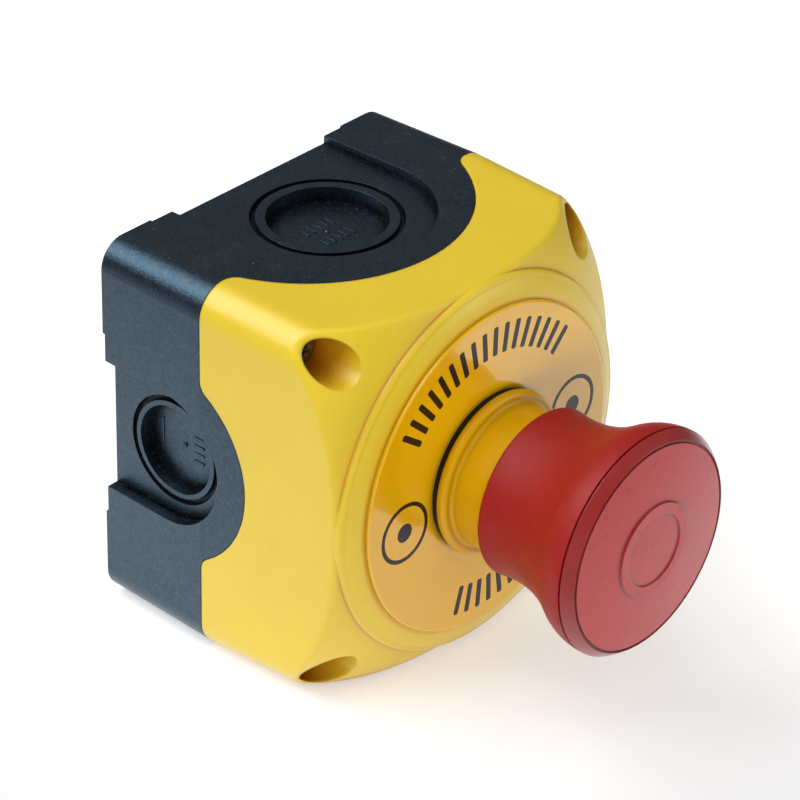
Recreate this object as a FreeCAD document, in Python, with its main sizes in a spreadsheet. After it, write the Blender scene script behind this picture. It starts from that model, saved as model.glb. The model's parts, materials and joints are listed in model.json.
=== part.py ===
import FreeCAD
import Part
import Sketcher

import math
import operator
import os
from types import SimpleNamespace

# Emergency stop push button: black base, yellow domed cover and red push-pull mushroom head.
# Each piece is drawn lying on its back: x runs to the right and y upwards, as seen from the front,
# and z is the depth in front of the wall. STANDING turns that depth towards -Y, so the assembly has
# its wall face on y = 0, its button facing -Y and +Z up.

# Driving dimensions in millimetres. A depth is measured from the wall.
SIZES = {
    # enclosure
    "box_width": 70.0,
    "box_height": 70.0,
    "corner_radius": 5.5,
    "box_wall": 2.4,
    "back_wall": 2.5,
    "foot_height": 0.5,
    "foot_width": 12.0,
    "foot_length": 17.4,
    "draft_inset": 0.6,
    "cover_draft": 0.028,
    "corner_parting": 23.0,
    "parting_gap": 0.15,
    "end_tongue_radius": 29.5,
    "end_tongue_centre": 11.9,
    "flank_tongue_radius": 19.0,
    "flank_tongue_centre": 13.85,
    "tongue_fillet": 3.0,
    "seal_inset": 1.2,
    "seal_height": 1.0,
    "seal_overhang": 0.2,
    # cable entries
    "end_recess_depth": 2.0,
    "end_recess_radius": 18.4,
    "end_recess_centre": 18.6,
    "end_knock_radius": 13.1,
    "end_pit_radius": 10.4,
    "end_pit_depth": 2.8,
    "flank_recess_depth": 2.8,
    "flank_recess_radius": 12.4,
    "flank_recess_centre": 14.5,
    "flank_knock_radius": 10.0,
    "flank_pit_radius": 8.1,
    "flank_pit_depth": 2.5,
    "knock_groove_width": 1.0,
    "knock_groove_depth": 0.8,
    "knock_border": 1.5,
    "knock_web": 1.4,
    # fixings
    "fixing_spacing": 41.0,
    "fixing_radius": 2.2,
    "screw_inset": 5.35,
    "screw_radius": 1.9,
    "screw_length": 25.0,
    "screw_head_radius": 3.4,
    "screw_head_height": 2.4,
    "screw_cross_length": 3.8,
    "screw_cross_width": 0.8,
    "screw_cross_depth": 1.2,
    "screw_seal_thickness": 0.6,
    "screw_clearance": 0.2,
    "pilot_clearance": 0.05,
    "pilot_spare": 4.0,
    "boss_radius": 4.3,
    "well_clearance": 0.35,
    "well_floor": 38.3,
    "well_floor_thickness": 2.6,
    # cover front
    "dome_shoulder": 6.9,
    "dome_overhang": 1.84,
    "dome_centre": 31.96,
    "dome_edge_round": 1.2,
    "face_rise": 1.08,
    "ring_setback": 0.9,
    "ring_width": 4.5,
    "ring_ledge": 0.8,
    "ring_round": 0.9,
    "ring_drop": 1.1,
    "ring_crown_radius": 9.0,
    "disc_thickness": 0.85,
    "disc_round": 0.35,
    # bezel
    "barrel_radius": 11.0,
    "barrel_wall": 2.7,
    "barrel_reach": 10.4,
    "barrel_clearance": 0.15,
    "key_width": 3.0,
    "key_height": 1.6,
    "gasket_inset": 0.4,
    "gasket_thickness": 0.7,
    "flange_step": 1.9,
    "flange_height": 2.05,
    "flange_round": 0.8,
    "flange_rear_round": 0.9,
    "neck_step": 1.75,
    "neck_fillet": 0.6,
    "neck_length": 14.4,
    "neck_wall": 1.4,
    "spring_seat_rise": 2.4,
    "stem_seal_land": 0.5,
    "stem_seal_thickness": 1.2,
    "nut_radius": 14.5,
    "nut_height": 4.0,
    "nut_notch_width": 4.0,
    "nut_notch_depth": 1.8,
    # head and stem
    "head_travel": 6.0,
    "head_stop_gap": 1.3,
    "head_clearance": 0.45,
    "rim_wall": 1.7,
    "rim_round": 0.7,
    "rim_curve_radius": 17.0,
    "waist_wall": 1.4,
    "flare_hollow_radius": 20.0,
    "flare_round_radius": 10.0,
    "head_radius": 20.0,
    "skirt_length": 21.7,
    "cap_height": 2.25,
    "seam_gap": 0.15,
    "seam_chamfer": 0.25,
    "cap_edge_step": 1.45,
    "cap_edge_curve": 8.0,
    "face_crown": 1.05,
    "face_groove_width": 0.5,
    "face_groove_depth": 0.35,
    "ridge_outer_radius": 8.5,
    "ridge_inner_radius": 6.3,
    "ridge_height": 0.35,
    "ridge_slope": 0.2,
    "cap_spigot_radius": 15.5,
    "cap_spigot_depth": 2.2,
    "hub_step": 0.64,
    "hub_length": 5.5,
    "pin_radius": 5.0,
    "pin_cover": 2.4,
    "stem_overhang": 0.4,
    "cone_lead": 0.5,
    "cone_slope": 0.2,
    "cone_shoulder": 1.0,
    "running_clearance": 0.06,
    "spring_clearance": 0.9,
    "return_wire": 1.1,
    # latch
    "latch_depth": 9.1,
    "latch_grip": 5.0,
    "latch_guide_clearance": 0.1,
    "slider_width": 5.0,
    "slider_height": 5.0,
    "slider_floor": 2.1,
    "slider_length": 3.96,
    "slider_clearance": 0.06,
    "slider_nose_gap": 0.08,
    "latch_spring_space": 3.8,
    "latch_outer_wall": 1.5,
    "latch_spring_radius": 1.6,
    "latch_wire": 0.5,
    # contact blocks
    "block_gap": 0.6,
    "block_width": 11.0,
    "block_length": 42.0,
    "block_clearance": 0.7,
    "block_wall": 1.3,
    "lid_thickness": 1.2,
    "terminal_clearance": 0.5,
    "terminal_depth": 6.0,
    "wire_entry_size": 3.6,
    "rib_thickness": 1.6,
    "rib_height": 5.0,
    "rib_gap": 0.15,
    "plunger_width": 4.6,
    "plunger_tail": 3.2,
    "plunger_gap": 0.1,
    "guide_clearance": 0.1,
    "bridge_end_gap": 1.1,
    "bridge_width": 3.0,
    "bridge_thickness": 0.8,
    "bridge_clearance": 0.05,
    "tip_radius": 1.1,
    "tip_height": 0.5,
    "tip_inset": 1.4,
    "contact_gap": 0.06,
    "strip_width": 4.0,
    "strip_thickness": 0.9,
    "strip_setback": 2.0,
    "strip_overlap": 2.8,
    "strip_end_gap": 0.8,
    "strip_clearance": 0.1,
    "terminal_radius": 1.6,
    "terminal_length": 5.5,
    "terminal_head_radius": 2.4,
    "terminal_head_height": 2.0,
    "terminal_slot_width": 0.7,
    "terminal_slot_depth": 0.9,
    "contact_spring_radius": 1.7,
    "contact_wire": 0.5,
    # reach of cutting tools past the faces that they cut
    "margin": 2.0,
}
RETURN_SPRING_TURNS = 5
CONTACT_SPRING_TURNS = 5
LATCH_SPRING_TURNS = 3
NUT_NOTCHES = 6

OPERATIONS = {"+": operator.add, "-": operator.sub, "*": operator.mul, "/": operator.truediv}
STANDING = FreeCAD.Rotation(FreeCAD.Vector(1, 0, 0), 90)
DEPTH_AXIS = FreeCAD.Vector(0, 0, 1)
START_POINT, END_POINT, CENTRE_POINT = range(1, 4)
HORIZONTAL_AXIS = -1
VERTICAL_AXIS = -2
CORNERS = ((-1, -1), (1, -1), (1, 1), (-1, 1))
BOTH_SIDES = (-1, 1)


class Size:
    """A length with its value now and the spreadsheet formula that drives it."""

    def __init__(self, value, formula):
        self.value = value
        self.formula = formula

    def __add__(self, other):
        return joined(self, "+", other)

    def __radd__(self, other):
        return joined(other, "+", self)

    def __sub__(self, other):
        return joined(self, "-", other)

    def __rsub__(self, other):
        return joined(other, "-", self)

    def __mul__(self, other):
        return joined(self, "*", other)

    def __rmul__(self, other):
        return joined(other, "*", self)

    def __truediv__(self, other):
        return joined(self, "/", other)

    def __neg__(self):
        return joined(0, "-", self)


def as_size(number):
    if isinstance(number, Size):
        return number
    return Size(number, str(number))


def joined(left, sign, right):
    left = as_size(left)
    right = as_size(right)
    value = OPERATIONS[sign](left.value, right.value)
    return Size(value, f"({left.formula} {sign} {right.formula})")


def root(square):
    return Size(math.sqrt(square.value), f"sqrt({square.formula})")


def smaller(one, other):
    return Size(min(one.value, other.value), f"min({one.formula}; {other.formula})")


def write_sheet(document):
    """Fills the spreadsheet and returns its sizes by name."""
    sheet = document.addObject("Spreadsheet::Sheet", "sizes")
    for row, (name, value) in enumerate(SIZES.items(), start=1):
        sheet.set(f"A{row}", name)
        sheet.set(f"B{row}", str(value))
        sheet.setAlias(f"B{row}", name)
    document.recompute()
    return SimpleNamespace(**{name: Size(value, f"sizes.{name}") for name, value in SIZES.items()})


doc = FreeCAD.newDocument("emergency_stop")
size = write_sheet(doc)

# Enclosure sizes that several pieces share
half_width = size.box_width / 2
half_height = size.box_height / 2
narrow_half = smaller(half_width, half_height)
corner_x = half_width - size.corner_radius
corner_y = half_height - size.corner_radius
corner_reach = root(corner_x * corner_x + corner_y * corner_y) + size.corner_radius
floor = size.foot_height + size.back_wall
tongue_limit = size.end_tongue_centre + size.end_tongue_radius + size.margin
screw_x = half_width - size.screw_inset
screw_y = half_height - size.screw_inset
well_radius = size.screw_head_radius + size.well_clearance
head_bearing = size.well_floor + size.screw_seal_thickness
screw_tip = head_bearing - size.screw_length
cavity_step = size.well_floor - size.well_floor_thickness

# Front of the cover, from the dome outwards
ring_radius = narrow_half - size.ring_setback
disc_radius = ring_radius - size.ring_width
dome_spread = ring_radius - size.dome_shoulder
dome_radius = corner_reach + size.dome_overhang - dome_spread
dome_top = size.dome_centre + dome_radius
inner_face = dome_top - size.box_wall
face_depth = dome_top + size.face_rise
disc_front = face_depth + size.disc_thickness
panel_hole_radius = size.barrel_radius + size.barrel_clearance

# Bezel, head and stem along the button axis
flange_rear = disc_front + size.gasket_thickness
flange_front = flange_rear + size.flange_height
neck_end = flange_front + size.neck_length
neck_radius = size.barrel_radius + size.neck_step
flange_radius = neck_radius + size.flange_step
spring_bore = neck_radius - size.neck_wall
spring_seat = flange_front + size.spring_seat_rise
bore_radius = size.barrel_radius - size.barrel_wall
stem_radius = bore_radius - size.running_clearance
hub_radius = stem_radius - size.hub_step
seal_rear = flange_rear + size.stem_seal_land
seal_front = seal_rear + size.stem_seal_thickness
seal_radius = bore_radius + size.stem_seal_thickness
head_rear = flange_front + size.head_travel + size.head_stop_gap
head_seam = head_rear + size.skirt_length
head_front = head_seam + size.cap_height
head_cavity_radius = neck_radius + size.head_clearance
head_web_rear = neck_end + size.head_travel + size.head_stop_gap
head_web_front = head_seam - size.cap_spigot_depth
hub_end = head_web_rear - size.hub_length
pin_end = head_web_front - size.pin_cover

# Latch behind the barrel
barrel_end = inner_face - size.barrel_reach
latch_rear = barrel_end - size.latch_depth
latch_front = barrel_end + size.latch_grip
latch_bore_radius = stem_radius + size.latch_guide_clearance
slider_rear = latch_rear + size.slider_floor
slider_front = slider_rear + size.slider_height
slider_back = stem_radius + size.slider_length
latch_spring_end = slider_back + size.latch_spring_space
latch_radius = latch_spring_end + size.latch_outer_wall
stem_end = latch_rear - size.stem_overhang
cone_start = slider_rear - size.cone_lead
cone_end = slider_front + size.head_travel + size.cone_lead

# Contact blocks, from the pushed-in stem down to the floor
block_offset = (size.block_width + size.block_gap) / 2
block_top = stem_end - size.head_travel - size.block_clearance
block_floor = floor + size.block_wall
lid_face = size.block_width / 2 - size.lid_thickness
chamber_top = block_top - size.block_wall
terminal_outer = size.block_length / 2 - size.block_wall
terminal_middle = terminal_outer - size.terminal_head_radius - size.terminal_clearance
terminal_inner = terminal_middle - size.terminal_head_radius - size.terminal_clearance
chamber_half = terminal_inner - size.block_wall
bridge_half = chamber_half - size.bridge_end_gap
strip_front = chamber_top - size.strip_setback
strip_depth = strip_front - size.strip_thickness
terminal_floor = strip_depth - size.terminal_depth
bridge_top = strip_depth - size.contact_gap - size.tip_height
bridge_depth = bridge_top - size.bridge_thickness
plunger_base = bridge_depth - size.plunger_tail
plunger_top = stem_end - size.plunger_gap


# Drawing helpers
def new_body(name):
    body = doc.addObject("PartDesign::Body", name)
    body.Label = name
    return body


def origin_plane(body, role):
    return next(item for item in body.Origin.OriginFeatures if item.Role == role)


def sketch_on(body, role, name, along=None, across=None):
    """A sketch on one of the body's own planes, moved along its normal and across it."""
    sketch = body.newObject("Sketcher::SketchObject", name)
    sketch.AttachmentSupport = (origin_plane(body, role), [""])
    sketch.MapMode = "FlatFace"
    if along is not None:
        sketch.setExpression("AttachmentOffset.Base.z", along.formula)
    if across is not None:
        sketch.setExpression("AttachmentOffset.Base.x", across.formula)
    return sketch


def level_sketch(body, name, depth):
    return sketch_on(body, "XY_Plane", name, along=as_size(depth))


def side_sketch(body, role, name, distance):
    """A sketch facing a side of the box, at a distance from the middle towards +Y or +X."""
    along = -distance if role == "XZ_Plane" else distance
    return sketch_on(body, role, name, along=along)


def pin(sketch, geometry, end, x, y):
    """Holds a point of the sketch at x, y. A plain 0 holds it on the axis."""
    for kind, axis, place in (("DistanceX", VERTICAL_AXIS, x), ("DistanceY", HORIZONTAL_AXIS, y)):
        if not isinstance(place, Size):
            sketch.addConstraint(Sketcher.Constraint("PointOnObject", geometry, end, axis))
            continue
        constraint = Sketcher.Constraint(kind, HORIZONTAL_AXIS, START_POINT, geometry, end, place.value)
        bind(sketch, sketch.addConstraint(constraint), place)


def bind(sketch, index, length):
    sketch.setExpression(f"Constraints[{index}]", length.formula)


def point(corner):
    return FreeCAD.Vector(as_size(corner[0]).value, as_size(corner[1]).value, 0)


def add_arc(sketch, start, finish, radius, turn):
    """The short arc between two points: turn 1 runs counter-clockwise, turn -1 clockwise."""
    chord = finish - start
    rise = math.sqrt(max(radius.value ** 2 - (chord.Length / 2) ** 2, 0))
    side = FreeCAD.Vector(-chord.y, chord.x, 0).normalize()
    centre = (start + finish) * 0.5 + side * (rise * turn)
    ends = (start, finish) if turn > 0 else (finish, start)
    angles = [math.atan2(place.y - centre.y, place.x - centre.x) for place in ends]
    whole = Part.Circle(centre, DEPTH_AXIS, radius.value)
    geometry = sketch.addGeometry(Part.ArcOfCircle(whole, *angles))
    bind(sketch, sketch.addConstraint(Sketcher.Constraint("Radius", geometry, radius.value)), radius)
    return (geometry, START_POINT, END_POINT) if turn > 0 else (geometry, END_POINT, START_POINT)


def outline(sketch, corners):
    """Closes corners with straight sides. A corner (x, y, radius, turn) starts an arc instead."""
    sides = []
    for number, corner in enumerate(corners):
        start = point(corner)
        finish = point(corners[(number + 1) % len(corners)])
        if len(corner) > 2:
            sides.append(add_arc(sketch, start, finish, corner[2], corner[3]))
        else:
            line = sketch.addGeometry(Part.LineSegment(start, finish))
            sides.append((line, START_POINT, END_POINT))
    for number, corner in enumerate(corners):
        geometry, first, _ = sides[number]
        previous, _, last = sides[number - 1]
        sketch.addConstraint(Sketcher.Constraint("Coincident", previous, last, geometry, first))
        pin(sketch, geometry, first, corner[0], corner[1])
    return sketch


def circle(sketch, radius, x=0, y=0):
    geometry = sketch.addGeometry(Part.Circle(point((x, y)), DEPTH_AXIS, radius.value))
    bind(sketch, sketch.addConstraint(Sketcher.Constraint("Radius", geometry, radius.value)), radius)
    pin(sketch, geometry, CENTRE_POINT, x, y)
    return sketch


def rectangle(left, right, low, high):
    return [(left, low), (right, low), (right, high), (left, high)]


def rounded_square(half_x, half_y, radius):
    flat_x = half_x - radius
    flat_y = half_y - radius
    return [
        (-flat_x, -half_y),
        (flat_x, -half_y, radius, 1),
        (half_x, -flat_y),
        (half_x, flat_y, radius, 1),
        (flat_x, half_y),
        (-flat_x, half_y, radius, 1),
        (-half_x, flat_y),
        (-half_x, -flat_y, radius, 1),
    ]


def wall_outline(inset):
    """The rounded square of the box, drawn in from its outer face."""
    return rounded_square(half_width - inset, half_height - inset, size.corner_radius - inset)


def drafted_outline(depth):
    """The outer face in front of the corners' joint, where the sides lean in but their corners stay round."""
    lean = size.cover_draft * (depth - size.corner_parting)
    return rounded_square(half_width - lean, half_height - lean, size.corner_radius)


def drafted_block(body, name, rear, front):
    """The solid between two depths with the box's leaning sides."""
    low = outline(level_sketch(body, name + "_rear", rear), drafted_outline(rear))
    high = outline(level_sketch(body, name + "_front", front), drafted_outline(front))
    return loft(body, name, low, high)


def arch(radius, centre, foot):
    """Straight sides up to the centre, then a half circle."""
    return [
        (-radius, foot),
        (radius, foot),
        (radius, centre, radius, 1),
        (0, centre + radius, radius, 1),
        (-radius, centre),
    ]


def extrude(body, kind, sketch, length, reverse=False):
    feature = body.newObject("PartDesign::" + kind, f"{sketch.Name}_{kind}")
    feature.Profile = sketch
    feature.Reversed = reverse
    feature.setExpression("Length", length.formula)
    return feature


def raise_from(body, sketch, length):
    return extrude(body, "Pad", sketch, length)


def cut_forward(body, sketch, length):
    return extrude(body, "Pocket", sketch, length, reverse=True)


def cut_back(body, sketch, length):
    return extrude(body, "Pocket", sketch, length)


def loft(body, name, rear, front):
    """Joins two outlines with straight sides."""
    feature = body.newObject("PartDesign::AdditiveLoft", name)
    feature.Profile = rear
    feature.Sections = [front]
    feature.Ruled = True
    return feature


def inward(body, kind, role, sketch, length):
    """Extrudes a side sketch towards the middle: the two side planes face opposite ways."""
    return extrude(body, kind, sketch, length, reverse=(kind == "Pad") == (role == "YZ_Plane"))


def turned(body, kind, sketch):
    feature = body.newObject("PartDesign::" + kind, f"{sketch.Name}_{kind}")
    feature.Profile = sketch
    feature.ReferenceAxis = (sketch, ["V_Axis"])
    feature.Angle = 360
    return feature


def revolved_body(name, corners):
    """A piece turned about the button axis from its radius and depth outline."""
    body = new_body(name)
    outline(sketch_on(body, "XZ_Plane", name + "_profile"), corners)
    turned(body, "Revolution", body.Group[-1])
    return stand(body)


def mirrored(body, features, role):
    copy = body.newObject("PartDesign::Mirrored", f"{features[0].Name}_mirrored")
    copy.Originals = features
    copy.MirrorPlane = (origin_plane(body, role), [""])
    body.Tip = copy
    return copy


def boolean(kind, name, base, tool):
    result = doc.addObject("Part::" + kind, name)
    result.Label = name
    result.Base = base
    result.Tool = tool
    return result


def stand(item, across=None, half_turn=False):
    """Turns a finished piece from its drawing position to its place in front of the wall."""
    spin = FreeCAD.Rotation(DEPTH_AXIS, 180 if half_turn else 0)
    item.Placement = FreeCAD.Placement(FreeCAD.Vector(), STANDING * spin)
    if across is not None:
        item.setExpression("Placement.Base.x", across.formula)
    return item


# Joint of base and cover
def tongue_outline(centre, radius, lift):
    """An arched tongue that runs into the corner level with a hollow fillet on each side."""
    fillet = size.tongue_fillet - lift
    reach = radius + size.tongue_fillet
    drop = size.corner_parting + size.tongue_fillet - centre
    foot = root(reach * reach - drop * drop)
    share = (radius + lift) / reach
    joint_x = foot * share
    joint_z = centre + drop * share
    level = size.corner_parting + lift
    low = size.corner_parting - size.margin
    return [
        (-foot, low),
        (foot, low),
        (foot, level, fillet, -1),
        (joint_x, joint_z, radius + lift, 1),
        (0, centre + radius + lift, radius + lift, 1),
        (-joint_x, joint_z, fillet, -1),
        (-foot, level),
    ]


def parting_region(name, lift, slack):
    """All space behind the joint, lifted forwards: tongues as thick as the wall, and their backing."""
    body = new_body(name)
    margin = size.margin
    wall = size.box_wall
    plan = level_sketch(body, name + "_plan", -margin)
    wide_x = half_width + margin
    wide_y = half_height + margin
    outline(plan, rectangle(-wide_x, wide_x, -wide_y, wide_y))
    raise_from(body, plan, size.corner_parting + lift + margin)
    end_tongue = tongue_outline(size.end_tongue_centre, size.end_tongue_radius, lift)
    end_backing = arch(size.end_recess_radius + wall + lift, size.end_recess_centre, floor)
    flank_tongue = tongue_outline(size.flank_tongue_centre, size.flank_tongue_radius, lift)
    flank_backing = arch(size.flank_recess_radius + wall + lift, size.flank_recess_centre, floor)
    end = (half_height, end_tongue, end_backing, size.end_recess_depth)
    flank = (half_width, flank_tongue, flank_backing, size.flank_recess_depth)
    for role, (half, tongue, backing, recess_depth) in (("XZ_Plane", end), ("YZ_Plane", flank)):
        features = []
        for part, corners, reach in (("tongue", tongue, wall), ("backing", backing, recess_depth + wall)):
            sketch = side_sketch(body, role, f"{name}_{role[:2].lower()}_{part}", half + margin)
            outline(sketch, corners)
            features.append(inward(body, "Pad", role, sketch, reach + slack + margin))
        mirrored(body, features, role)
    return body


# Black base
def cable_entry(body, role, half, recess, knock):
    """A recessed arch with a knock-out on one pair of sides, backed by wall of even thickness."""
    radius, centre, depth = recess
    knock_radius, pit_radius, pit_depth = knock
    margin = size.margin
    wall = size.box_wall
    recess_floor = half - depth
    name = f"{body.Name}_{role[:2].lower()}"
    backing = side_sketch(body, role, name + "_backing", recess_floor)
    outline(backing, arch(radius + wall, centre, floor - size.back_wall / 2))
    features = [inward(body, "Pad", role, backing, wall)]
    boss = side_sketch(body, role, name + "_boss", recess_floor - wall / 2)
    circle(boss, knock_radius + size.knock_border, 0, centre)
    features.append(inward(body, "Pad", role, boss, pit_depth + size.knock_web - wall / 2))
    hollow = side_sketch(body, role, name + "_recess", half + margin)
    outline(hollow, arch(radius, centre, -margin))
    features.append(inward(body, "Pocket", role, hollow, depth + margin))
    groove = side_sketch(body, role, name + "_groove", recess_floor)
    circle(groove, knock_radius, 0, centre)
    circle(groove, knock_radius - size.knock_groove_width, 0, centre)
    features.append(inward(body, "Pocket", role, groove, size.knock_groove_depth))
    pit = side_sketch(body, role, name + "_pit", recess_floor)
    circle(pit, pit_radius, 0, centre)
    features.append(inward(body, "Pocket", role, pit, pit_depth))
    mirrored(body, features, role)


def four_circles(sketch, radius, x, y):
    for side_x, side_y in CORNERS:
        circle(sketch, radius, side_x * x, side_y * y)
    return sketch


def base_shell():
    body = new_body("base_shell")
    margin = size.margin
    back = outline(level_sketch(body, "base_back", 0), wall_outline(size.draft_inset))
    joint = outline(level_sketch(body, "base_joint", size.corner_parting), wall_outline(0))
    loft(body, "base_drafted_wall", back, joint)
    drafted_block(body, "base_tongue_wall", size.corner_parting, tongue_limit)
    hollow = level_sketch(body, "base_hollow", floor)
    outline(hollow, wall_outline(size.box_wall))
    cut_forward(body, hollow, tongue_limit - floor + margin)
    bosses = four_circles(level_sketch(body, "base_bosses", floor), size.boss_radius, screw_x, screw_y)
    raise_from(body, bosses, size.corner_parting - floor)
    end_recess = (size.end_recess_radius, size.end_recess_centre, size.end_recess_depth)
    end_knock = (size.end_knock_radius, size.end_pit_radius, size.end_pit_depth)
    cable_entry(body, "XZ_Plane", half_height, end_recess, end_knock)
    flank_recess = (size.flank_recess_radius, size.flank_recess_centre, size.flank_recess_depth)
    flank_knock = (size.flank_knock_radius, size.flank_pit_radius, size.flank_pit_depth)
    cable_entry(body, "YZ_Plane", half_width, flank_recess, flank_knock)
    rib_x = block_offset + size.block_width / 2
    rib_y = size.block_length / 2 + size.rib_gap
    ribs = level_sketch(body, "block_ribs", floor)
    for side in BOTH_SIDES:
        inner = side * rib_y
        outline(ribs, rectangle(-rib_x, rib_x, inner, inner + side * size.rib_thickness))
    raise_from(body, ribs, size.rib_height)
    feet = level_sketch(body, "base_feet", 0)
    outline(feet, cross_outline(half_width - size.foot_width, half_height - size.foot_length,
                                half_width + margin, half_height + margin))
    cut_forward(body, feet, size.foot_height)
    fixing = size.fixing_spacing / 2
    fixings = four_circles(level_sketch(body, "wall_fixings", -margin), size.fixing_radius, fixing, fixing)
    cut_forward(body, fixings, floor + 2 * margin)
    pilots = level_sketch(body, "screw_pilots", screw_tip - size.pilot_spare)
    four_circles(pilots, size.screw_radius + size.pilot_clearance, screw_x, screw_y)
    cut_forward(body, pilots, size.corner_parting + margin - screw_tip + size.pilot_spare)
    return body


def cross_outline(arm_x, arm_y, reach_x, reach_y, x=0, y=0):
    """A plus sign: arms arm_x and arm_y thick to each side, reaching out from x, y."""
    corners = [
        (-reach_x, -arm_y),
        (-arm_x, -arm_y),
        (-arm_x, -reach_y),
        (arm_x, -reach_y),
        (arm_x, -arm_y),
        (reach_x, -arm_y),
        (reach_x, arm_y),
        (arm_x, arm_y),
        (arm_x, reach_y),
        (-arm_x, reach_y),
        (-arm_x, arm_y),
        (-reach_x, arm_y),
    ]
    return [(x + across, y + up) for across, up in corners]


# Yellow cover
def cover_shell():
    body = new_body("cover_shell")
    margin = size.margin
    wall = size.box_wall
    drafted_block(body, "cover_block", size.corner_parting + size.parting_gap, face_depth + margin)
    dome = sketch_on(body, "XZ_Plane", "cover_dome")
    far = dome_spread + dome_radius
    high = face_depth + 2 * margin
    outline(dome, [
        (0, dome_top),
        (dome_spread, dome_top, dome_radius, -1),
        (far, size.dome_centre),
        (far + half_width, size.dome_centre),
        (far + half_width, high),
        (0, high),
    ])
    carved = turned(body, "Groove", dome)
    doc.recompute()
    softened = body.newObject("PartDesign::Fillet", "cover_dome_edge")
    softened.Base = (carved, dome_edges(carved.Shape))
    softened.setExpression("Radius", size.dome_edge_round.formula)
    front_ring(body)
    hollow = level_sketch(body, "cover_hollow", size.corner_parting)
    outline(hollow, wall_outline(wall))
    cut_forward(body, hollow, cavity_step - size.corner_parting)
    columns_start = size.corner_parting + size.parting_gap
    columns = level_sketch(body, "cover_columns", columns_start)
    four_circles(columns, size.boss_radius, screw_x, screw_y)
    raise_from(body, columns, cavity_step - columns_start + wall / 2)
    under_dome(body)
    wells = level_sketch(body, "cover_wells", size.well_floor)
    four_circles(wells, well_radius, screw_x, screw_y)
    cut_forward(body, wells, high - size.well_floor)
    passages = level_sketch(body, "screw_passages", size.corner_parting)
    four_circles(passages, size.screw_radius + size.screw_clearance, screw_x, screw_y)
    cut_forward(body, passages, size.well_floor - size.corner_parting + margin)
    hole = circle(level_sketch(body, "panel_hole", inner_face - margin), panel_hole_radius)
    cut_forward(body, hole, high - inner_face)
    notch = level_sketch(body, "key_notch", inner_face - margin)
    notch_x = size.key_width / 2 + size.barrel_clearance
    notch_y = size.barrel_radius + size.key_height + size.barrel_clearance
    outline(notch, rectangle(-notch_x, notch_x, 0 * notch_y, notch_y))
    cut_forward(body, notch, high - inner_face)
    return body


def dome_edges(shape):
    """The edges where the dome meets the flat sides and the rounded corners."""
    lowest = size.dome_centre.value
    names = []
    for number, edge in enumerate(shape.Edges, start=1):
        curved = edge.Curve.TypeId != "Part::GeomLine"
        if curved and edge.BoundBox.ZMin > lowest and edge.Length > size.margin.value:
            names.append(f"Edge{number}")
    return names


def front_ring(body):
    """The raised ring on the dome, crowned towards its rounded rim, and the flat face inside it."""
    shoulder = face_depth - size.ring_drop
    ring = sketch_on(body, "XZ_Plane", "cover_ring")
    outline(ring, [
        (0, inner_face),
        (ring_radius, inner_face),
        (ring_radius, shoulder - size.ring_round, size.ring_round, 1),
        (ring_radius - size.ring_round, shoulder, size.ring_crown_radius, 1),
        (disc_radius + size.ring_ledge, face_depth),
        (0, face_depth),
    ])
    return turned(body, "Revolution", ring)


def under_dome(body):
    """The round hollow under the dome, one wall thickness inside it."""
    inner_radius = dome_radius - size.box_wall
    side = narrow_half - size.box_wall - size.cover_draft * (dome_top - size.corner_parting)
    run = side - dome_spread
    side_top = size.dome_centre + root(inner_radius * inner_radius - run * run)
    low = cavity_step - size.box_wall / 2
    hollow = sketch_on(body, "XZ_Plane", "cover_under_dome")
    outline(hollow, [
        (0, low),
        (side, low),
        (side, side_top, inner_radius, 1),
        (dome_spread, inner_face),
        (0, inner_face),
    ])
    return turned(body, "Groove", hollow)


def seal_band():
    """An upright band round the box, as wide as the seal."""
    body = new_body("seal_band")
    low = size.corner_parting - size.margin
    plan = level_sketch(body, "seal_plan", low)
    for inset in (size.seal_inset, size.box_wall + size.seal_overhang):
        outline(plan, wall_outline(inset))
    raise_from(body, plan, tongue_limit + size.seal_height - low)
    return body


def enclosure():
    """Base, cover and the seal between them all meet along one wavy joint."""
    behind_joint = parting_region("behind_joint", 0 * size.parting_gap, size.margin)
    behind_gap = parting_region("behind_gap", size.parting_gap, size.parting_gap)
    behind_seal = parting_region("behind_seal", size.seal_height, size.margin)
    base = stand(boolean("Common", "base_box", base_shell(), behind_joint))
    notched = boolean("Cut", "notched_cover", cover_shell(), behind_gap)
    seal_space = boolean("Common", "seal_space", seal_band(), behind_seal)
    cover = stand(boolean("Cut", "cover", notched, seal_space))
    seal = stand(boolean("Cut", "cover_seal", seal_space, behind_joint))
    return [base, cover, seal]


# Fasteners of the cover
def cover_screws():
    body = new_body("cover_screws")
    screw_front = head_bearing + size.screw_head_height
    for number, (side_x, side_y) in enumerate(CORNERS):
        place = {"along": -side_y * screw_y, "across": side_x * screw_x}
        sketch = sketch_on(body, "XZ_Plane", f"screw_{number}", **place)
        outline(sketch, [
            (0, screw_tip),
            (size.screw_radius, screw_tip),
            (size.screw_radius, head_bearing),
            (size.screw_head_radius, head_bearing),
            (size.screw_head_radius, screw_front),
            (0, screw_front),
        ])
        turned(body, "Revolution", sketch)
    recesses = level_sketch(body, "screw_recesses", screw_front)
    arm = size.screw_cross_width / 2
    reach = size.screw_cross_length / 2
    for side_x, side_y in CORNERS:
        outline(recesses, cross_outline(arm, arm, reach, reach, side_x * screw_x, side_y * screw_y))
    cut_back(body, recesses, size.screw_cross_depth)
    return stand(body)


def screw_seals():
    body = new_body("screw_seals")
    sketch = level_sketch(body, "screw_seal_rings", size.well_floor)
    four_circles(sketch, size.screw_head_radius, screw_x, screw_y)
    four_circles(sketch, size.screw_radius + size.pilot_clearance, screw_x, screw_y)
    raise_from(body, sketch, size.screw_seal_thickness)
    return stand(body)


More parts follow.
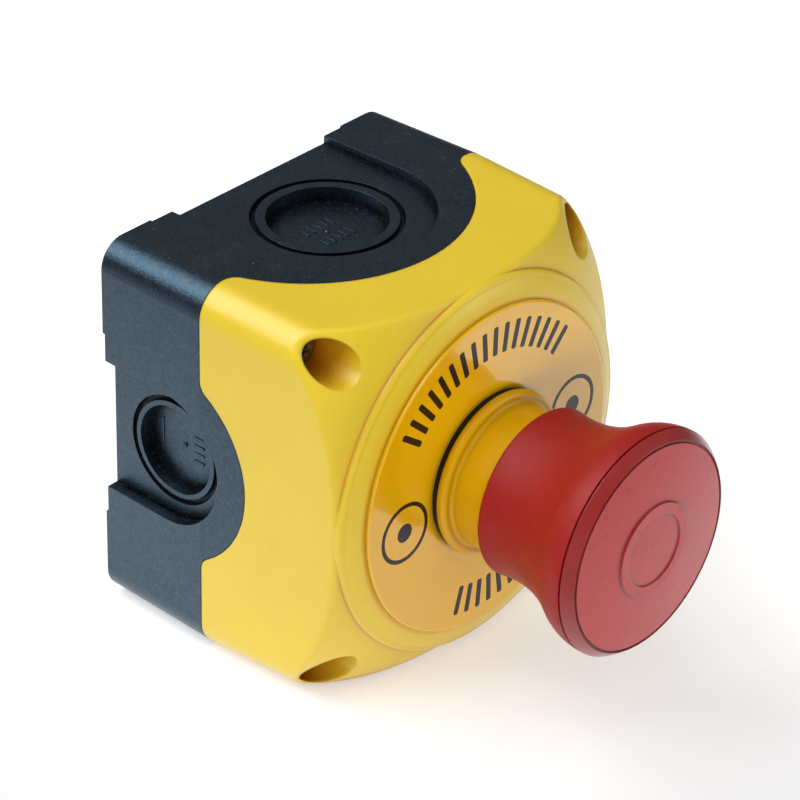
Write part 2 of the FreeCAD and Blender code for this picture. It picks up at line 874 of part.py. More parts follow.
# Front of the cover
def legend_disc():
    round_start = disc_front - size.disc_round
    return revolved_body("legend_disc", [
        (panel_hole_radius, face_depth),
        (disc_radius, face_depth),
        (disc_radius, round_start, size.disc_round, 1),
        (disc_radius - size.disc_round, disc_front),
        (panel_hole_radius, disc_front),
    ])


def bezel_gasket():
    edge = flange_radius - size.gasket_inset
    return revolved_body("bezel_gasket", rectangle(panel_hole_radius, edge, disc_front, flange_rear))


def bezel():
    """Flange and neck in front of the cover, barrel behind it, bored for the stem, its seal and spring."""
    body = revolved_body("bezel", [
        (bore_radius, barrel_end),
        (size.barrel_radius, barrel_end),
        (size.barrel_radius, flange_rear),
        (flange_radius - size.flange_rear_round, flange_rear, size.flange_rear_round, 1),
        (flange_radius, flange_rear + size.flange_rear_round),
        (flange_radius, flange_front - size.flange_round, size.flange_round, 1),
        (flange_radius - size.flange_round, flange_front),
        (neck_radius + size.neck_fillet, flange_front, size.neck_fillet, -1),
        (neck_radius, flange_front + size.neck_fillet),
        (neck_radius, neck_end),
        (spring_bore, neck_end),
        (spring_bore, spring_seat),
        (bore_radius, spring_seat),
        (bore_radius, seal_front),
        (seal_radius, seal_front),
        (seal_radius, seal_rear),
        (bore_radius, seal_rear),
    ])
    key = level_sketch(body, "bezel_key", inner_face)
    half_key = size.key_width / 2
    key_root = size.barrel_radius - size.key_height / 2
    outline(key, rectangle(-half_key, half_key, key_root, size.barrel_radius + size.key_height))
    raise_from(body, key, face_depth - inner_face)
    return body


def mounting_nut():
    """A slotted ring nut that bears on the inner face of the cover."""
    body = new_body("mounting_nut")
    ring = level_sketch(body, "nut_ring", inner_face - size.nut_height)
    circle(ring, size.nut_radius)
    circle(ring, size.barrel_radius + size.running_clearance)
    raise_from(body, ring, size.nut_height)
    notch = level_sketch(body, "nut_notch", inner_face - size.nut_height)
    half_notch = size.nut_notch_width / 2
    outline(notch, rectangle(size.nut_radius - size.nut_notch_depth, size.nut_radius + size.margin,
                             -half_notch, half_notch))
    slot = cut_forward(body, notch, size.nut_height / 2)
    pattern = body.newObject("PartDesign::PolarPattern", "nut_notches")
    pattern.Originals = [slot]
    pattern.Axis = (origin_plane(body, "Z_Axis"), [""])
    pattern.Angle = 360
    pattern.Occurrences = NUT_NOTCHES
    body.Tip = pattern
    return stand(body)


def stem_seal():
    """A ring of square section that fills its groove and wipes the stem."""
    return revolved_body("stem_seal", rectangle(bore_radius, seal_radius, seal_rear, seal_front))


# Mushroom head and stem
def head_body():
    """Hourglass skirt: a hollow curve and a round one meet smoothly between the waist and the seam."""
    reach = size.flare_hollow_radius + size.flare_round_radius
    waist_radius = head_cavity_radius + size.waist_wall
    rim_radius = head_cavity_radius + size.rim_wall
    spread = reach - (size.head_radius - waist_radius)
    run = root(reach * reach - spread * spread)
    waist_depth = head_seam - run
    share = size.flare_round_radius / reach
    flare_x = size.head_radius - size.flare_round_radius + spread * share
    flare_z = head_seam - run * share
    socket = size.cap_spigot_radius + size.running_clearance
    pin_hole = size.pin_radius + size.running_clearance
    hole_end = pin_end + size.running_clearance
    return revolved_body("head_body", [
        (head_cavity_radius, head_rear),
        (rim_radius - size.rim_round, head_rear, size.rim_round, 1),
        (rim_radius, head_rear + size.rim_round, size.rim_curve_radius, -1),
        (waist_radius, waist_depth, size.flare_hollow_radius, -1),
        (flare_x, flare_z, size.flare_round_radius, 1),
        (size.head_radius, head_seam),
        (socket, head_seam),
        (socket, head_web_front),
        (0, head_web_front),
        (0, hole_end),
        (pin_hole, hole_end),
        (pin_hole, hub_end),
        (hub_radius, hub_end),
        (hub_radius, head_web_rear),
        (head_cavity_radius, head_web_rear),
    ])


def head_cap():
    """Crowned front disc with a fine groove inside its sloping edge and a raised ring round its middle."""
    seam_front = head_seam + size.seam_gap
    groove_outer = size.head_radius - size.cap_edge_step
    groove_inner = groove_outer - size.face_groove_width
    groove_slope = size.face_groove_width / 4
    groove_floor = head_front - size.face_groove_depth
    crown_radius = (groove_inner * groove_inner + size.face_crown * size.face_crown) / (2 * size.face_crown)
    crown_centre = head_front + size.face_crown - crown_radius
    ridge_ends = (size.ridge_outer_radius, size.ridge_inner_radius)
    rises = [root(crown_radius * crown_radius - end * end) for end in ridge_ends]
    ridge_rear, ridge_floor = [crown_centre + rise for rise in rises]
    ridge_front = ridge_rear + size.ridge_height
    return revolved_body("head_cap", [
        (0, head_web_front),
        (size.cap_spigot_radius, head_web_front),
        (size.cap_spigot_radius, seam_front),
        (size.head_radius - size.seam_chamfer, seam_front),
        (size.head_radius, seam_front + size.seam_chamfer, size.cap_edge_curve, 1),
        (groove_outer, head_front),
        (groove_outer - groove_slope, groove_floor),
        (groove_inner + groove_slope, groove_floor),
        (groove_inner, head_front, crown_radius, 1),
        (size.ridge_outer_radius, ridge_rear),
        (size.ridge_outer_radius - size.ridge_slope, ridge_front),
        (size.ridge_inner_radius + size.ridge_slope, ridge_front),
        (size.ridge_inner_radius, ridge_floor, crown_radius, 1),
        (0, head_front + size.face_crown),
    ])


def stem():
    """Plunger with a cone for the latch near its rear end and a pin that carries the head."""
    neck = stem_radius - size.cone_slope * (cone_end - cone_start)
    return revolved_body("stem", [
        (0, stem_end),
        (stem_radius, stem_end),
        (stem_radius, cone_start),
        (neck, cone_end),
        (stem_radius, cone_end + size.cone_shoulder),
        (stem_radius, hub_end),
        (size.pin_radius, hub_end),
        (size.pin_radius, pin_end),
        (0, pin_end),
    ])


def spring(name, radius, wire, length, turns):
    """A helical spring of square wire that stands on z = 0."""
    body = new_body(name)
    sketch = sketch_on(body, "XZ_Plane", name + "_wire")
    outline(sketch, rectangle(radius - wire / 2, radius + wire / 2, 0, wire))
    coil = body.newObject("PartDesign::AdditiveHelix", name + "_coil")
    coil.Profile = sketch
    coil.ReferenceAxis = (sketch, ["V_Axis"])
    coil.Mode = "height-turns-angle"
    coil.Turns = turns
    coil.setExpression("Height", (length - wire).formula)
    return body


def return_spring():
    length = head_web_rear - spring_seat
    radius = spring_bore - size.return_wire / 2 - size.spring_clearance
    body = stand(spring("return_spring", radius, size.return_wire, length, RETURN_SPRING_TURNS))
    body.setExpression("Placement.Base.y", (-spring_seat).formula)
    return body


# Latch behind the barrel
def latch_housing():
    body = revolved_body("latch_housing", [
        (latch_bore_radius, latch_rear),
        (latch_radius, latch_rear),
        (latch_radius, latch_front),
        (size.barrel_radius + size.running_clearance, latch_front),
        (size.barrel_radius + size.running_clearance, barrel_end),
        (latch_bore_radius, barrel_end),
    ])
    half_slot = size.slider_width / 2 + size.slider_clearance
    low = slider_rear - size.slider_clearance
    high = slider_front + size.slider_clearance
    slot = side_sketch(body, "YZ_Plane", "latch_slot", latch_spring_end)
    outline(slot, rectangle(-half_slot, half_slot, low, high))
    guide = inward(body, "Pocket", "YZ_Plane", slot, latch_spring_end)
    mirrored(body, [guide], "YZ_Plane")
    return body


def latch_slider(side, half_turn):
    """A block whose nose slopes like the cone of the stem, a small gap away from it."""
    body = new_body("latch_slider_" + side)
    nose_rear = stem_radius - size.cone_slope * (slider_rear - cone_start) + size.slider_nose_gap
    nose_front = stem_radius - size.cone_slope * (slider_front - cone_start) + size.slider_nose_gap
    sketch = side_sketch(body, "XZ_Plane", f"slider_{side}_profile", size.slider_width / 2)
    outline(sketch, [
        (nose_rear, slider_rear),
        (slider_back, slider_rear),
        (slider_back, slider_front),
        (nose_front, slider_front),
    ])
    inward(body, "Pad", "XZ_Plane", sketch, size.slider_width)
    return stand(body, half_turn=half_turn)


def latch_spring(side, direction):
    length = latch_spring_end - slider_back
    radius = size.latch_spring_radius
    body = spring("latch_spring_" + side, radius, size.latch_wire, length, LATCH_SPRING_TURNS)
    outward = FreeCAD.Rotation(FreeCAD.Vector(0, 1, 0), 90 * direction)
    body.Placement = FreeCAD.Placement(FreeCAD.Vector(), outward)
    body.setExpression("Placement.Base.x", (direction * slider_back).formula)
    body.setExpression("Placement.Base.y", (-(slider_rear + slider_front) / 2).formula)
    return body


# Contact blocks on the back wall
def contact_housing(side, place):
    """A block open on its outer side, with a chamber for the bridge and one at each end for a terminal."""
    body = new_body("contact_housing_" + side)
    name = "housing_" + side
    margin = size.margin
    half_length = size.block_length / 2
    cavity_depth = size.block_width - size.lid_thickness - size.block_wall
    block = side_sketch(body, "YZ_Plane", name + "_block", lid_face)
    outline(block, rectangle(-half_length, half_length, floor, block_top))
    inward(body, "Pad", "YZ_Plane", block, size.block_width - size.lid_thickness)
    chamber = side_sketch(body, "YZ_Plane", name + "_chamber", lid_face)
    outline(chamber, rectangle(-chamber_half, chamber_half, block_floor, chamber_top))
    inward(body, "Pocket", "YZ_Plane", chamber, cavity_depth)
    terminal = side_sketch(body, "YZ_Plane", name + "_terminal", lid_face)
    outline(terminal, rectangle(terminal_inner, terminal_outer, terminal_floor, block_top + margin))
    slot = side_sketch(body, "YZ_Plane", name + "_strip_slot", lid_face)
    slot_low = strip_depth - size.strip_clearance
    slot_high = strip_front + size.strip_clearance
    inset = size.block_wall / 2
    outline(slot, rectangle(chamber_half - inset, terminal_inner + inset, slot_low, slot_high))
    entry = side_sketch(body, "XZ_Plane", name + "_wire_entry", half_length + margin)
    half_entry = size.wire_entry_size / 2
    entry_low = terminal_floor + size.block_wall / 2
    outline(entry, rectangle(-half_entry, half_entry, entry_low, entry_low + size.wire_entry_size))
    features = [
        inward(body, "Pocket", "YZ_Plane", terminal, cavity_depth),
        inward(body, "Pocket", "YZ_Plane", slot, cavity_depth),
        inward(body, "Pocket", "XZ_Plane", entry, margin + size.block_wall + inset),
    ]
    mirrored(body, features, "XZ_Plane")
    guide = level_sketch(body, name + "_guide", block_top + margin)
    half_guide = size.plunger_width / 2 + size.guide_clearance
    outline(guide, rectangle(-half_guide, half_guide, -half_guide, half_guide))
    cut_back(body, guide, margin + size.block_wall + inset)
    return stand(body, **place)


def contact_lid(side, place):
    body = new_body("contact_lid_" + side)
    half_length = size.block_length / 2
    plate = side_sketch(body, "YZ_Plane", "lid_" + side, size.block_width / 2)
    outline(plate, rectangle(-half_length, half_length, floor, block_top))
    inward(body, "Pad", "YZ_Plane", plate, size.lid_thickness)
    return stand(body, **place)


def contact_plunger(side, place):
    """A square rod with a window that carries the bridge."""
    body = new_body("contact_plunger_" + side)
    half_rod = size.plunger_width / 2
    rod = level_sketch(body, f"plunger_{side}_rod", plunger_base)
    outline(rod, rectangle(-half_rod, half_rod, -half_rod, half_rod))
    raise_from(body, rod, plunger_top - plunger_base)
    window = side_sketch(body, "XZ_Plane", f"plunger_{side}_window", half_rod + size.margin)
    half_window = size.bridge_width / 2 + size.bridge_clearance
    outline(window, rectangle(-half_window, half_window, bridge_depth - size.bridge_clearance,
                              bridge_top + size.bridge_clearance))
    inward(body, "Pocket", "XZ_Plane", window, size.plunger_width + 2 * size.margin)
    return stand(body, **place)


def contact_bridge(side, place):
    body = new_body("contact_bridge_" + side)
    half_bridge = size.bridge_width / 2
    strip = level_sketch(body, f"bridge_{side}_strip", bridge_depth)
    outline(strip, rectangle(-half_bridge, half_bridge, -bridge_half, bridge_half))
    raise_from(body, strip, size.bridge_thickness)
    tips = level_sketch(body, f"bridge_{side}_tips", bridge_top)
    for direction in BOTH_SIDES:
        circle(tips, size.tip_radius, 0, direction * (bridge_half - size.tip_inset))
    raise_from(body, tips, size.tip_height)
    return stand(body, **place)


def fixed_contacts(side, place):
    """Two strips that run from over the bridge's tips to the terminals."""
    body = new_body("fixed_contacts_" + side)
    half_strip = size.strip_width / 2
    inner = bridge_half - size.strip_overlap
    outer = terminal_outer - size.strip_end_gap
    strips = level_sketch(body, f"strips_{side}", strip_depth)
    for direction in BOTH_SIDES:
        outline(strips, rectangle(-half_strip, half_strip, direction * inner, direction * outer))
        circle(strips, size.terminal_radius + size.running_clearance, 0, direction * terminal_middle)
    raise_from(body, strips, size.strip_thickness)
    return stand(body, **place)


def terminal_screws(side, place):
    body = new_body("terminal_screws_" + side)
    tip = strip_front - size.terminal_length
    screw_front = strip_front + size.terminal_head_height
    for direction in BOTH_SIDES:
        name = f"terminal_{side}_{'upper' if direction > 0 else 'lower'}"
        sketch = sketch_on(body, "XZ_Plane", name, along=-direction * terminal_middle)
        outline(sketch, [
            (0, tip),
            (size.terminal_radius, tip),
            (size.terminal_radius, strip_front),
            (size.terminal_head_radius, strip_front),
            (size.terminal_head_radius, screw_front),
            (0, screw_front),
        ])
        turned(body, "Revolution", sketch)
    slots = level_sketch(body, f"terminal_{side}_slots", screw_front)
    half_slot = size.terminal_slot_width / 2
    reach = size.terminal_head_radius + size.margin / 2
    for direction in BOTH_SIDES:
        middle = direction * terminal_middle
        outline(slots, rectangle(-reach, reach, middle - half_slot, middle + half_slot))
    cut_back(body, slots, size.terminal_slot_depth)
    return stand(body, **place)


def contact_spring(side, place):
    length = plunger_base - block_floor
    radius = size.contact_spring_radius
    body = spring("contact_spring_" + side, radius, size.contact_wire, length, CONTACT_SPRING_TURNS)
    stand(body, **place)
    body.setExpression("Placement.Base.y", (-block_floor).formula)
    return body


def check_document():
    """Stops before anything is written if a feature failed or a cut removed nothing."""
    for item in doc.Objects:
        if any(state in ("Invalid", "Error") for state in item.State):
            raise RuntimeError(f"{item.Label} failed: {item.State}")
        if item.TypeId in ("PartDesign::Pocket", "PartDesign::Groove"):
            if item.Shape.Volume >= item.BaseFeature.Shape.Volume:
                raise RuntimeError(f"{item.Label} cuts nothing")


def write_pieces(pieces):
    for piece in pieces:
        if piece.Shape.isNull() or not piece.Shape.isValid():
            raise RuntimeError(f"{piece.Label} has no valid shape")
    os.makedirs("parts", exist_ok=True)
    for piece in pieces:
        piece.Shape.exportStep(f"parts/{piece.Label}.step")


def main():
    pieces = enclosure()
    for make in (cover_screws, screw_seals, legend_disc, bezel_gasket, bezel, mounting_nut, stem_seal,
                 head_body, head_cap, stem, return_spring, latch_housing):
        pieces.append(make())
    for side, direction in (("left", -1), ("right", 1)):
        pieces.append(latch_slider(side, half_turn=direction < 0))
        pieces.append(latch_spring(side, direction))
        place = {"across": direction * block_offset, "half_turn": direction < 0}
        for make in (contact_housing, contact_lid, contact_plunger, contact_bridge, fixed_contacts,
                     terminal_screws, contact_spring):
            pieces.append(make(side, place))
    doc.recompute()
    check_document()
    write_pieces(pieces)


main()
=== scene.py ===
"""Looks of an emergency stop push button in its wall box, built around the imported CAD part."""

import json
import math

import bmesh
import bpy
from bpy.props import FloatProperty, FloatVectorProperty, IntProperty, PointerProperty
from mathutils import Matrix, Vector

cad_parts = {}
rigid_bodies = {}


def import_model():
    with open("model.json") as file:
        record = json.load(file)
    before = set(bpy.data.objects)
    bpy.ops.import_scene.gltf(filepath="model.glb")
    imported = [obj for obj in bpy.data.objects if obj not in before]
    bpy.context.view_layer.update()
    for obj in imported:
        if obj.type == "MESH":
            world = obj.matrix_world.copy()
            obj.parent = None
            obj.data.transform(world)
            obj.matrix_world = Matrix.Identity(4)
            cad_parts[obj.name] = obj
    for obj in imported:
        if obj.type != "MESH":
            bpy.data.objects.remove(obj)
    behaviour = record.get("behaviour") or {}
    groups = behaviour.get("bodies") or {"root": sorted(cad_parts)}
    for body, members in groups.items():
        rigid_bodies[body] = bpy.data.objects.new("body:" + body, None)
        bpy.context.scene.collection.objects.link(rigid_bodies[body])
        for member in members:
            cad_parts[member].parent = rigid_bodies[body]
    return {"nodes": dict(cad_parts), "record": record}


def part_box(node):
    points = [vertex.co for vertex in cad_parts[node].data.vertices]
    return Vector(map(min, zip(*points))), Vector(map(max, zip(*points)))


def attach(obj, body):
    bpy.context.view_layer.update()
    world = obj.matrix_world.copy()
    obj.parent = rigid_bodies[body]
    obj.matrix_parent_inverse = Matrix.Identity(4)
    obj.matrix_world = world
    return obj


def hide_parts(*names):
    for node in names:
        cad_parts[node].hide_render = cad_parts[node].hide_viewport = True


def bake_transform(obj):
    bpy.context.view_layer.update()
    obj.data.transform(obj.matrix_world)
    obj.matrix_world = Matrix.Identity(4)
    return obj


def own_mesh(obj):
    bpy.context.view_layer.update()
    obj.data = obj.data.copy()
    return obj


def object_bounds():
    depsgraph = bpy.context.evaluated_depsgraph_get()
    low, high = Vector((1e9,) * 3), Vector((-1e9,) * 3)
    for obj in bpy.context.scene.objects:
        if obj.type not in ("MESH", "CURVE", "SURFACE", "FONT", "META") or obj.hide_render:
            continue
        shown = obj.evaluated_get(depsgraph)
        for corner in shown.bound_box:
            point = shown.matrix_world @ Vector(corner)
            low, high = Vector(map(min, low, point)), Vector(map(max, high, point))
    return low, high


bl_info = {
    "name": "Emergency stop button",
    "version": (1, 0, 0),
    "blender": (4, 5, 0),
    "location": "View3D > Sidebar > Stop button",
    "description": "Finishes, print, screws and stage for an emergency stop button in a wall box",
    "category": "Object",
}

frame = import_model()
cad_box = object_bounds()

MM = 0.001
MERGE = 1e-6  # points closer than this become one
OUTSIDE = 0.2  # a distance from the button's axis that lies outside the box
RIGHT = Vector((1, 0, 0))
BACKWARD = Vector((0, 1, 0))
UP = Vector((0, 0, 1))
SIDES = {
    "top": (UP, RIGHT),
    "bottom": (-UP, -RIGHT),
    "left": (-RIGHT, UP),
    "right": (RIGHT, -UP),
}

disc_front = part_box("legend_disc")[0].y
screws_low, screws_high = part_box("cover_screws")


# Sizes and colours that a user may change


def length(name, description, default):
    return FloatProperty(
        name=name, description=description, default=default * MM, min=0, unit="LENGTH", precision=5
    )


def angle(name, description, degrees):
    return FloatProperty(name=name, description=description, default=math.radians(degrees), subtype="ANGLE")


def colour(name, description, default):
    return FloatVectorProperty(
        name=name, description=description, default=default, size=3, min=0, max=1, subtype="COLOR"
    )


def share(name, description, default):
    return FloatProperty(name=name, description=description, default=default, min=0, max=1, subtype="FACTOR")


def how_many(name, description, default):
    return IntProperty(name=name, description=description, default=default, min=1)


def power(name, description, default):
    return FloatProperty(name=name, description=description, default=default, min=0, unit="POWER")


def position(name, description, default):
    return FloatVectorProperty(
        name=name, description=description, default=default, size=3, subtype="TRANSLATION", unit="LENGTH"
    )


class EnclosureSettings(bpy.types.PropertyGroup):
    """Finishes of the box."""

    cover_yellow: colour("Cover", "Colour of the domed cover", (0.84, 0.60, 0.018))
    # Painted shade: the cover is tinted towards this deeper, darker colour in its wells and creases.
    cover_painted_shade: colour("Cover hollows", "Colour of the cover deep in its wells", (0.58, 0.19, 0.001))
    base_black: colour("Base", "Colour of the base", (0.004, 0.005, 0.007))
    dust: colour("Dust", "Colour of the dust and scuffs on the base", (0.34, 0.50, 0.66))
    # Partly edge wear and partly a painted highlight: the base's edges are lightened towards this colour.
    edge_wear_and_highlight: colour("Worn edges", "Colour of the base's worn edges", (0.055, 0.060, 0.068))
    grain: length("Grain", "Size of the spark-eroded grain of the mould", 0.35)
    cover_edge: length("Cover edge", "Radius of the cover's softened edges", 0.7)
    base_edge: length("Base edge", "Radius of the base's softened edges", 0.14)


class LegendSettings(bpy.types.PropertyGroup):
    """The legend plate and what is printed on it."""

    plate_yellow: colour("Plate", "Colour of the legend plate", (0.90, 0.50, 0.002))
    ink: colour("Ink", "Colour of the print", (0.004, 0.003, 0.003))
    thin_ink: colour("Thin ink", "Colour of the print where it is thin", (0.10, 0.075, 0.02))
    ink_height: length("Ink height", "How far the print stands on the plate", 0.03)
    bar_radius: length("Bar circle", "Radius of the circle through the middle of the bars", 24.2)
    bar_length: length("Bar length", "Length of a bar along the radius", 5.4)
    bar_width: length("Bar width", "Width of a bar", 1.1)
    bar_pitch: angle("Bar pitch", "Angle from one bar to the next", 6.1)
    upper_start: angle("Upper start", "Angle of the first bar of the upper row", 46.5)
    upper_count: how_many("Upper bars", "Number of bars in the upper row", 17)
    lower_start: angle("Lower start", "Angle of the first bar of the lower row", -106.5)
    lower_count: how_many("Lower bars", "Number of bars in the lower row", 7)
    sign_circle: length("Sign circle", "Radius of the circle through the two signs", 21.1)
    sign_turn: angle("Sign turn", "How far the plate is turned from level", 8.0)
    sign_radius: length("Sign radius", "Radius of a sign at the middle of its ring", 5.2)
    sign_stroke: length("Sign stroke", "Width of the ring of a sign", 0.75)
    sign_dot: length("Sign dot", "Radius of the dot in the middle of a sign", 1.7)


class CollarSettings(bpy.types.PropertyGroup):
    """The collar that the head slides on."""

    collar_yellow: colour("Collar", "Colour of the collar", (0.78, 0.42, 0.001))
    rubber: colour("Rubber", "Colour of gasket and seals", (0.005, 0.005, 0.006))
    bloom: colour("Bloom", "Colour of the dust on gasket and seals", (0.05, 0.05, 0.052))


class MushroomSettings(bpy.types.PropertyGroup):
    """The push head."""

    head_red: colour("Head", "Colour of the head", (0.34, 0.010, 0.008))
    cap_red: colour("Cap", "Colour of the head's front disc", (0.49, 0.017, 0.016))
    face_radius: length("Face radius", "Radius of the cap's face inside its sloping rim", 18.5)
    middle_radius: length("Middle radius", "Radius of the flat middle of the cap's face", 2.4)
    rubbed: colour("Rubbed", "Colour of the rubbed marks", (0.75, 0.35, 0.33))
    smudge: share("Smudges", "How dark the finger marks are", 0.42)


class ScrewSettings(bpy.types.PropertyGroup):
    """The four cover screws."""

    metal: colour("Metal", "Colour of the blackened screws", (0.30, 0.29, 0.24))
    head_radius: length("Head radius", "Radius of a screw head", 3.4)
    head_height: length("Head height", "Height of a screw head", 2.4)
    shank_radius: length("Shank radius", "Radius over the thread", 1.9)
    thread_pitch: length("Thread pitch", "Distance from one thread to the next", 0.8)
    thread_depth: length("Thread depth", "Depth of the thread", 0.28)
    cross_length: length("Cross length", "Length of the cross recess from tip to tip", 4.2)
    cross_width: length("Cross width", "Width of a wing of the cross recess", 0.85)
    cross_depth: length("Cross depth", "Depth of the cross recess", 1.6)


class KnockoutSettings(bpy.types.PropertyGroup):
    """Moulded marks on the floors of the four knock-outs."""

    end_depth: length("End centre", "Distance from the wall to the middle of an end knock-out", 18.6)
    flank_depth: length("Flank centre", "Distance from the wall to the middle of a side knock-out", 14.5)
    pip_radius: length("Pip radius", "Radius of the pip in the middle", 0.55)
    mark_height: length("Mark height", "How far a mark stands proud", 0.16)
    mark_length: length("Mark length", "Length of a moulded bar", 2.4)
    mark_width: length("Mark width", "Width of a moulded bar", 0.45)
    mark_pitch: length("Mark pitch", "Distance from one moulded bar to the next", 1.5)
    flank_shift: length("Flank marks", "How far the bars of a side knock-out lie in front of its pip", 3.2)
    rib_length: length("Rib length", "Length of the straight rib in a side knock-out", 6.6)
    rib_shift: length("Rib place", "How far that rib lies behind the pip", 5.2)


class StageSettings(bpy.types.PropertyGroup):
    """Camera, floor and lamps."""

    target_depth: length("Target depth", "How far in front of the wall the camera's target lies", 35.9)
    azimuth: angle("Azimuth", "Where the camera stands round the object", -48.485)
    elevation: angle("Elevation", "How far above the horizon the camera stands", 31.882)
    roll: angle("Roll", "How far the camera is turned about its line of sight", 1.289)
    distance: length("Distance", "Distance of the camera from its target", 688.626)
    aside: length("Aside", "How far the camera stands to its left", 0.237)
    above: length("Above", "How far the camera stands above its target", 3.92)
    focal_length: FloatProperty(
        name="Focal length", description="Focal length of the camera", default=184.33, min=1, unit="CAMERA"
    )
    floor_radius: length("Floor radius", "Radius of the floor", 4000)
    # The floor and far floor colours make a painted pool of light: the floor is palest round the object.
    near_floor: colour("Floor", "Colour of the floor round the object", (0.82, 0.83, 0.84))
    far_floor: colour("Far floor", "Colour of the floor further out", (0.40, 0.41, 0.42))
    pool_across: length("Pool across", "How far right of the object the pale pool's middle lies", 90)
    pool_behind: length("Pool behind", "How far behind the wall the pale pool's middle lies", 44)
    pool_inner: length("Pool inner radius", "Radius within which the floor is palest", 150)
    pool_outer: length("Pool outer radius", "Radius at which the floor has its far colour", 260)
    pool_glow: share("Pool glow", "How much light the camera sees in the pale pool", 0.45)
    room_low: share("Room at the horizon", "Brightness of the room along the horizon", 0.06)
    room_high: share("Room above", "Brightness of the room half way up and above", 0.20)
    key_power: power("Key lamp", "Power of the lamp above and behind", 17.5)
    key_width: length("Key width", "Width of that lamp", 1300)
    key_place: position("Key place", "Where that lamp stands", (-0.58, 0.56, 1.06))
    rim_power: power("Rim lamp", "Power of the small lamp in front on the right", 3)
    rim_width: length("Rim width", "Width of that lamp", 700)
    rim_place: position("Rim place", "Where that lamp stands", (0.90, -1.15, 0.36))
    fill_power: power("Fill lamp", "Power of the low strip lamp in front", 8)
    fill_width: length("Fill width", "Width of that lamp", 1600)
    fill_height: length("Fill height", "Height of that lamp", 300)
    fill_place: position("Fill place", "Where that lamp stands", (-0.75, -1.00, 0.13))
    top_power: power("Top lamp", "Power of the broad lamp overhead", 3)
    top_width: length("Top width", "Width of that lamp", 1200)
    top_place: position("Top place", "Where that lamp stands", (0.10, -0.45, 1.20))


# Nodes of materials


def join(tree, source, socket):
    """Sets a socket to a value, or links it to another node's socket."""
    if isinstance(source, bpy.types.NodeSocket):
        tree.links.new(source, socket)
    else:
        socket.default_value = source


def add(tree, kind, inputs=None, **settings):
    """A node of a tree with its settings and its named inputs."""
    made = tree.nodes.new(kind)
    for name, value in settings.items():
        setattr(made, name, value)
    for name, value in (inputs or {}).items():
        join(tree, value, made.inputs[name])
    return made


def surface_place(tree):
    return add(tree, "ShaderNodeTexCoord").outputs["Object"]


def noise(tree, place, size, detail=2.0, roughness=0.5):
    """Noise whose lumps are about as large as the given size."""
    inputs = {"Vector": place, "Scale": 1 / size, "Detail": detail, "Roughness": roughness}
    return add(tree, "ShaderNodeTexNoise", inputs).outputs["Fac"]


def between(tree, value, low, high, start=0.0, end=1.0):
    """Maps a value from low..high to start..end, held at the ends."""
    inputs = {"Value": value, "From Min": low, "From Max": high, "To Min": start, "To Max": end}
    return add(tree, "ShaderNodeMapRange", inputs).outputs["Result"]


def arithmetic(tree, operation, first, second):
    made = add(tree, "ShaderNodeMath", operation=operation)
    join(tree, first, made.inputs[0])
    join(tree, second, made.inputs[1])
    return made.outputs["Value"]


def mixed(tree, factor, first, second):
    """A colour between two others, which are sockets or plain colours."""
    made = add(tree, "ShaderNodeMix", data_type="RGBA")
    join(tree, factor, made.inputs[0])
    for socket, tone in ((6, first), (7, second)):
        linked_tone = isinstance(tone, bpy.types.NodeSocket)
        join(tree, tone if linked_tone else (*tone, 1.0), made.inputs[socket])
    return made.outputs[2]


def toned(tone, amount):
    """A colour made lighter or darker."""
    return tuple(min(1.0, part * amount) for part in tone)


def specks(tree, place, spacing, radius, rarity):
    """Scattered dots: 1 inside a dot and 0 elsewhere."""
    cells = add(tree, "ShaderNodeTexVoronoi", {"Vector": place, "Scale": 1 / spacing})
    near = between(tree, cells.outputs["Distance"], 0.6 * radius / spacing, radius / spacing, 1, 0)
    chance = add(tree, "ShaderNodeSeparateColor", {"Color": cells.outputs["Color"]}).outputs["Red"]
    return arithmetic(tree, "MULTIPLY", near, arithmetic(tree, "GREATER_THAN", chance, rarity))


def edge_band(tree, soft_normal):
    """1 along the edges, where the softened normal leaves the true one, and 0 on the faces."""
    true_normal = add(tree, "ShaderNodeNewGeometry").outputs["True Normal"]
    meet = add(tree, "ShaderNodeVectorMath", operation="DOT_PRODUCT")
    join(tree, soft_normal, meet.inputs[0])
    join(tree, true_normal, meet.inputs[1])
    return between(tree, meet.outputs["Value"], 0.98, 0.80)


def hollows(tree, reach, alone=True, shallow=0.85, deep=0.40):
    """A mask for painted shade: 1 deep in wells and corners and 0 on open faces, for a piece alone or with
    its neighbours.
    """
    inputs = {"Distance": reach}
    open_share = add(tree, "ShaderNodeAmbientOcclusion", inputs, samples=8, only_local=alone).outputs["AO"]
    return between(tree, open_share, shallow, deep)


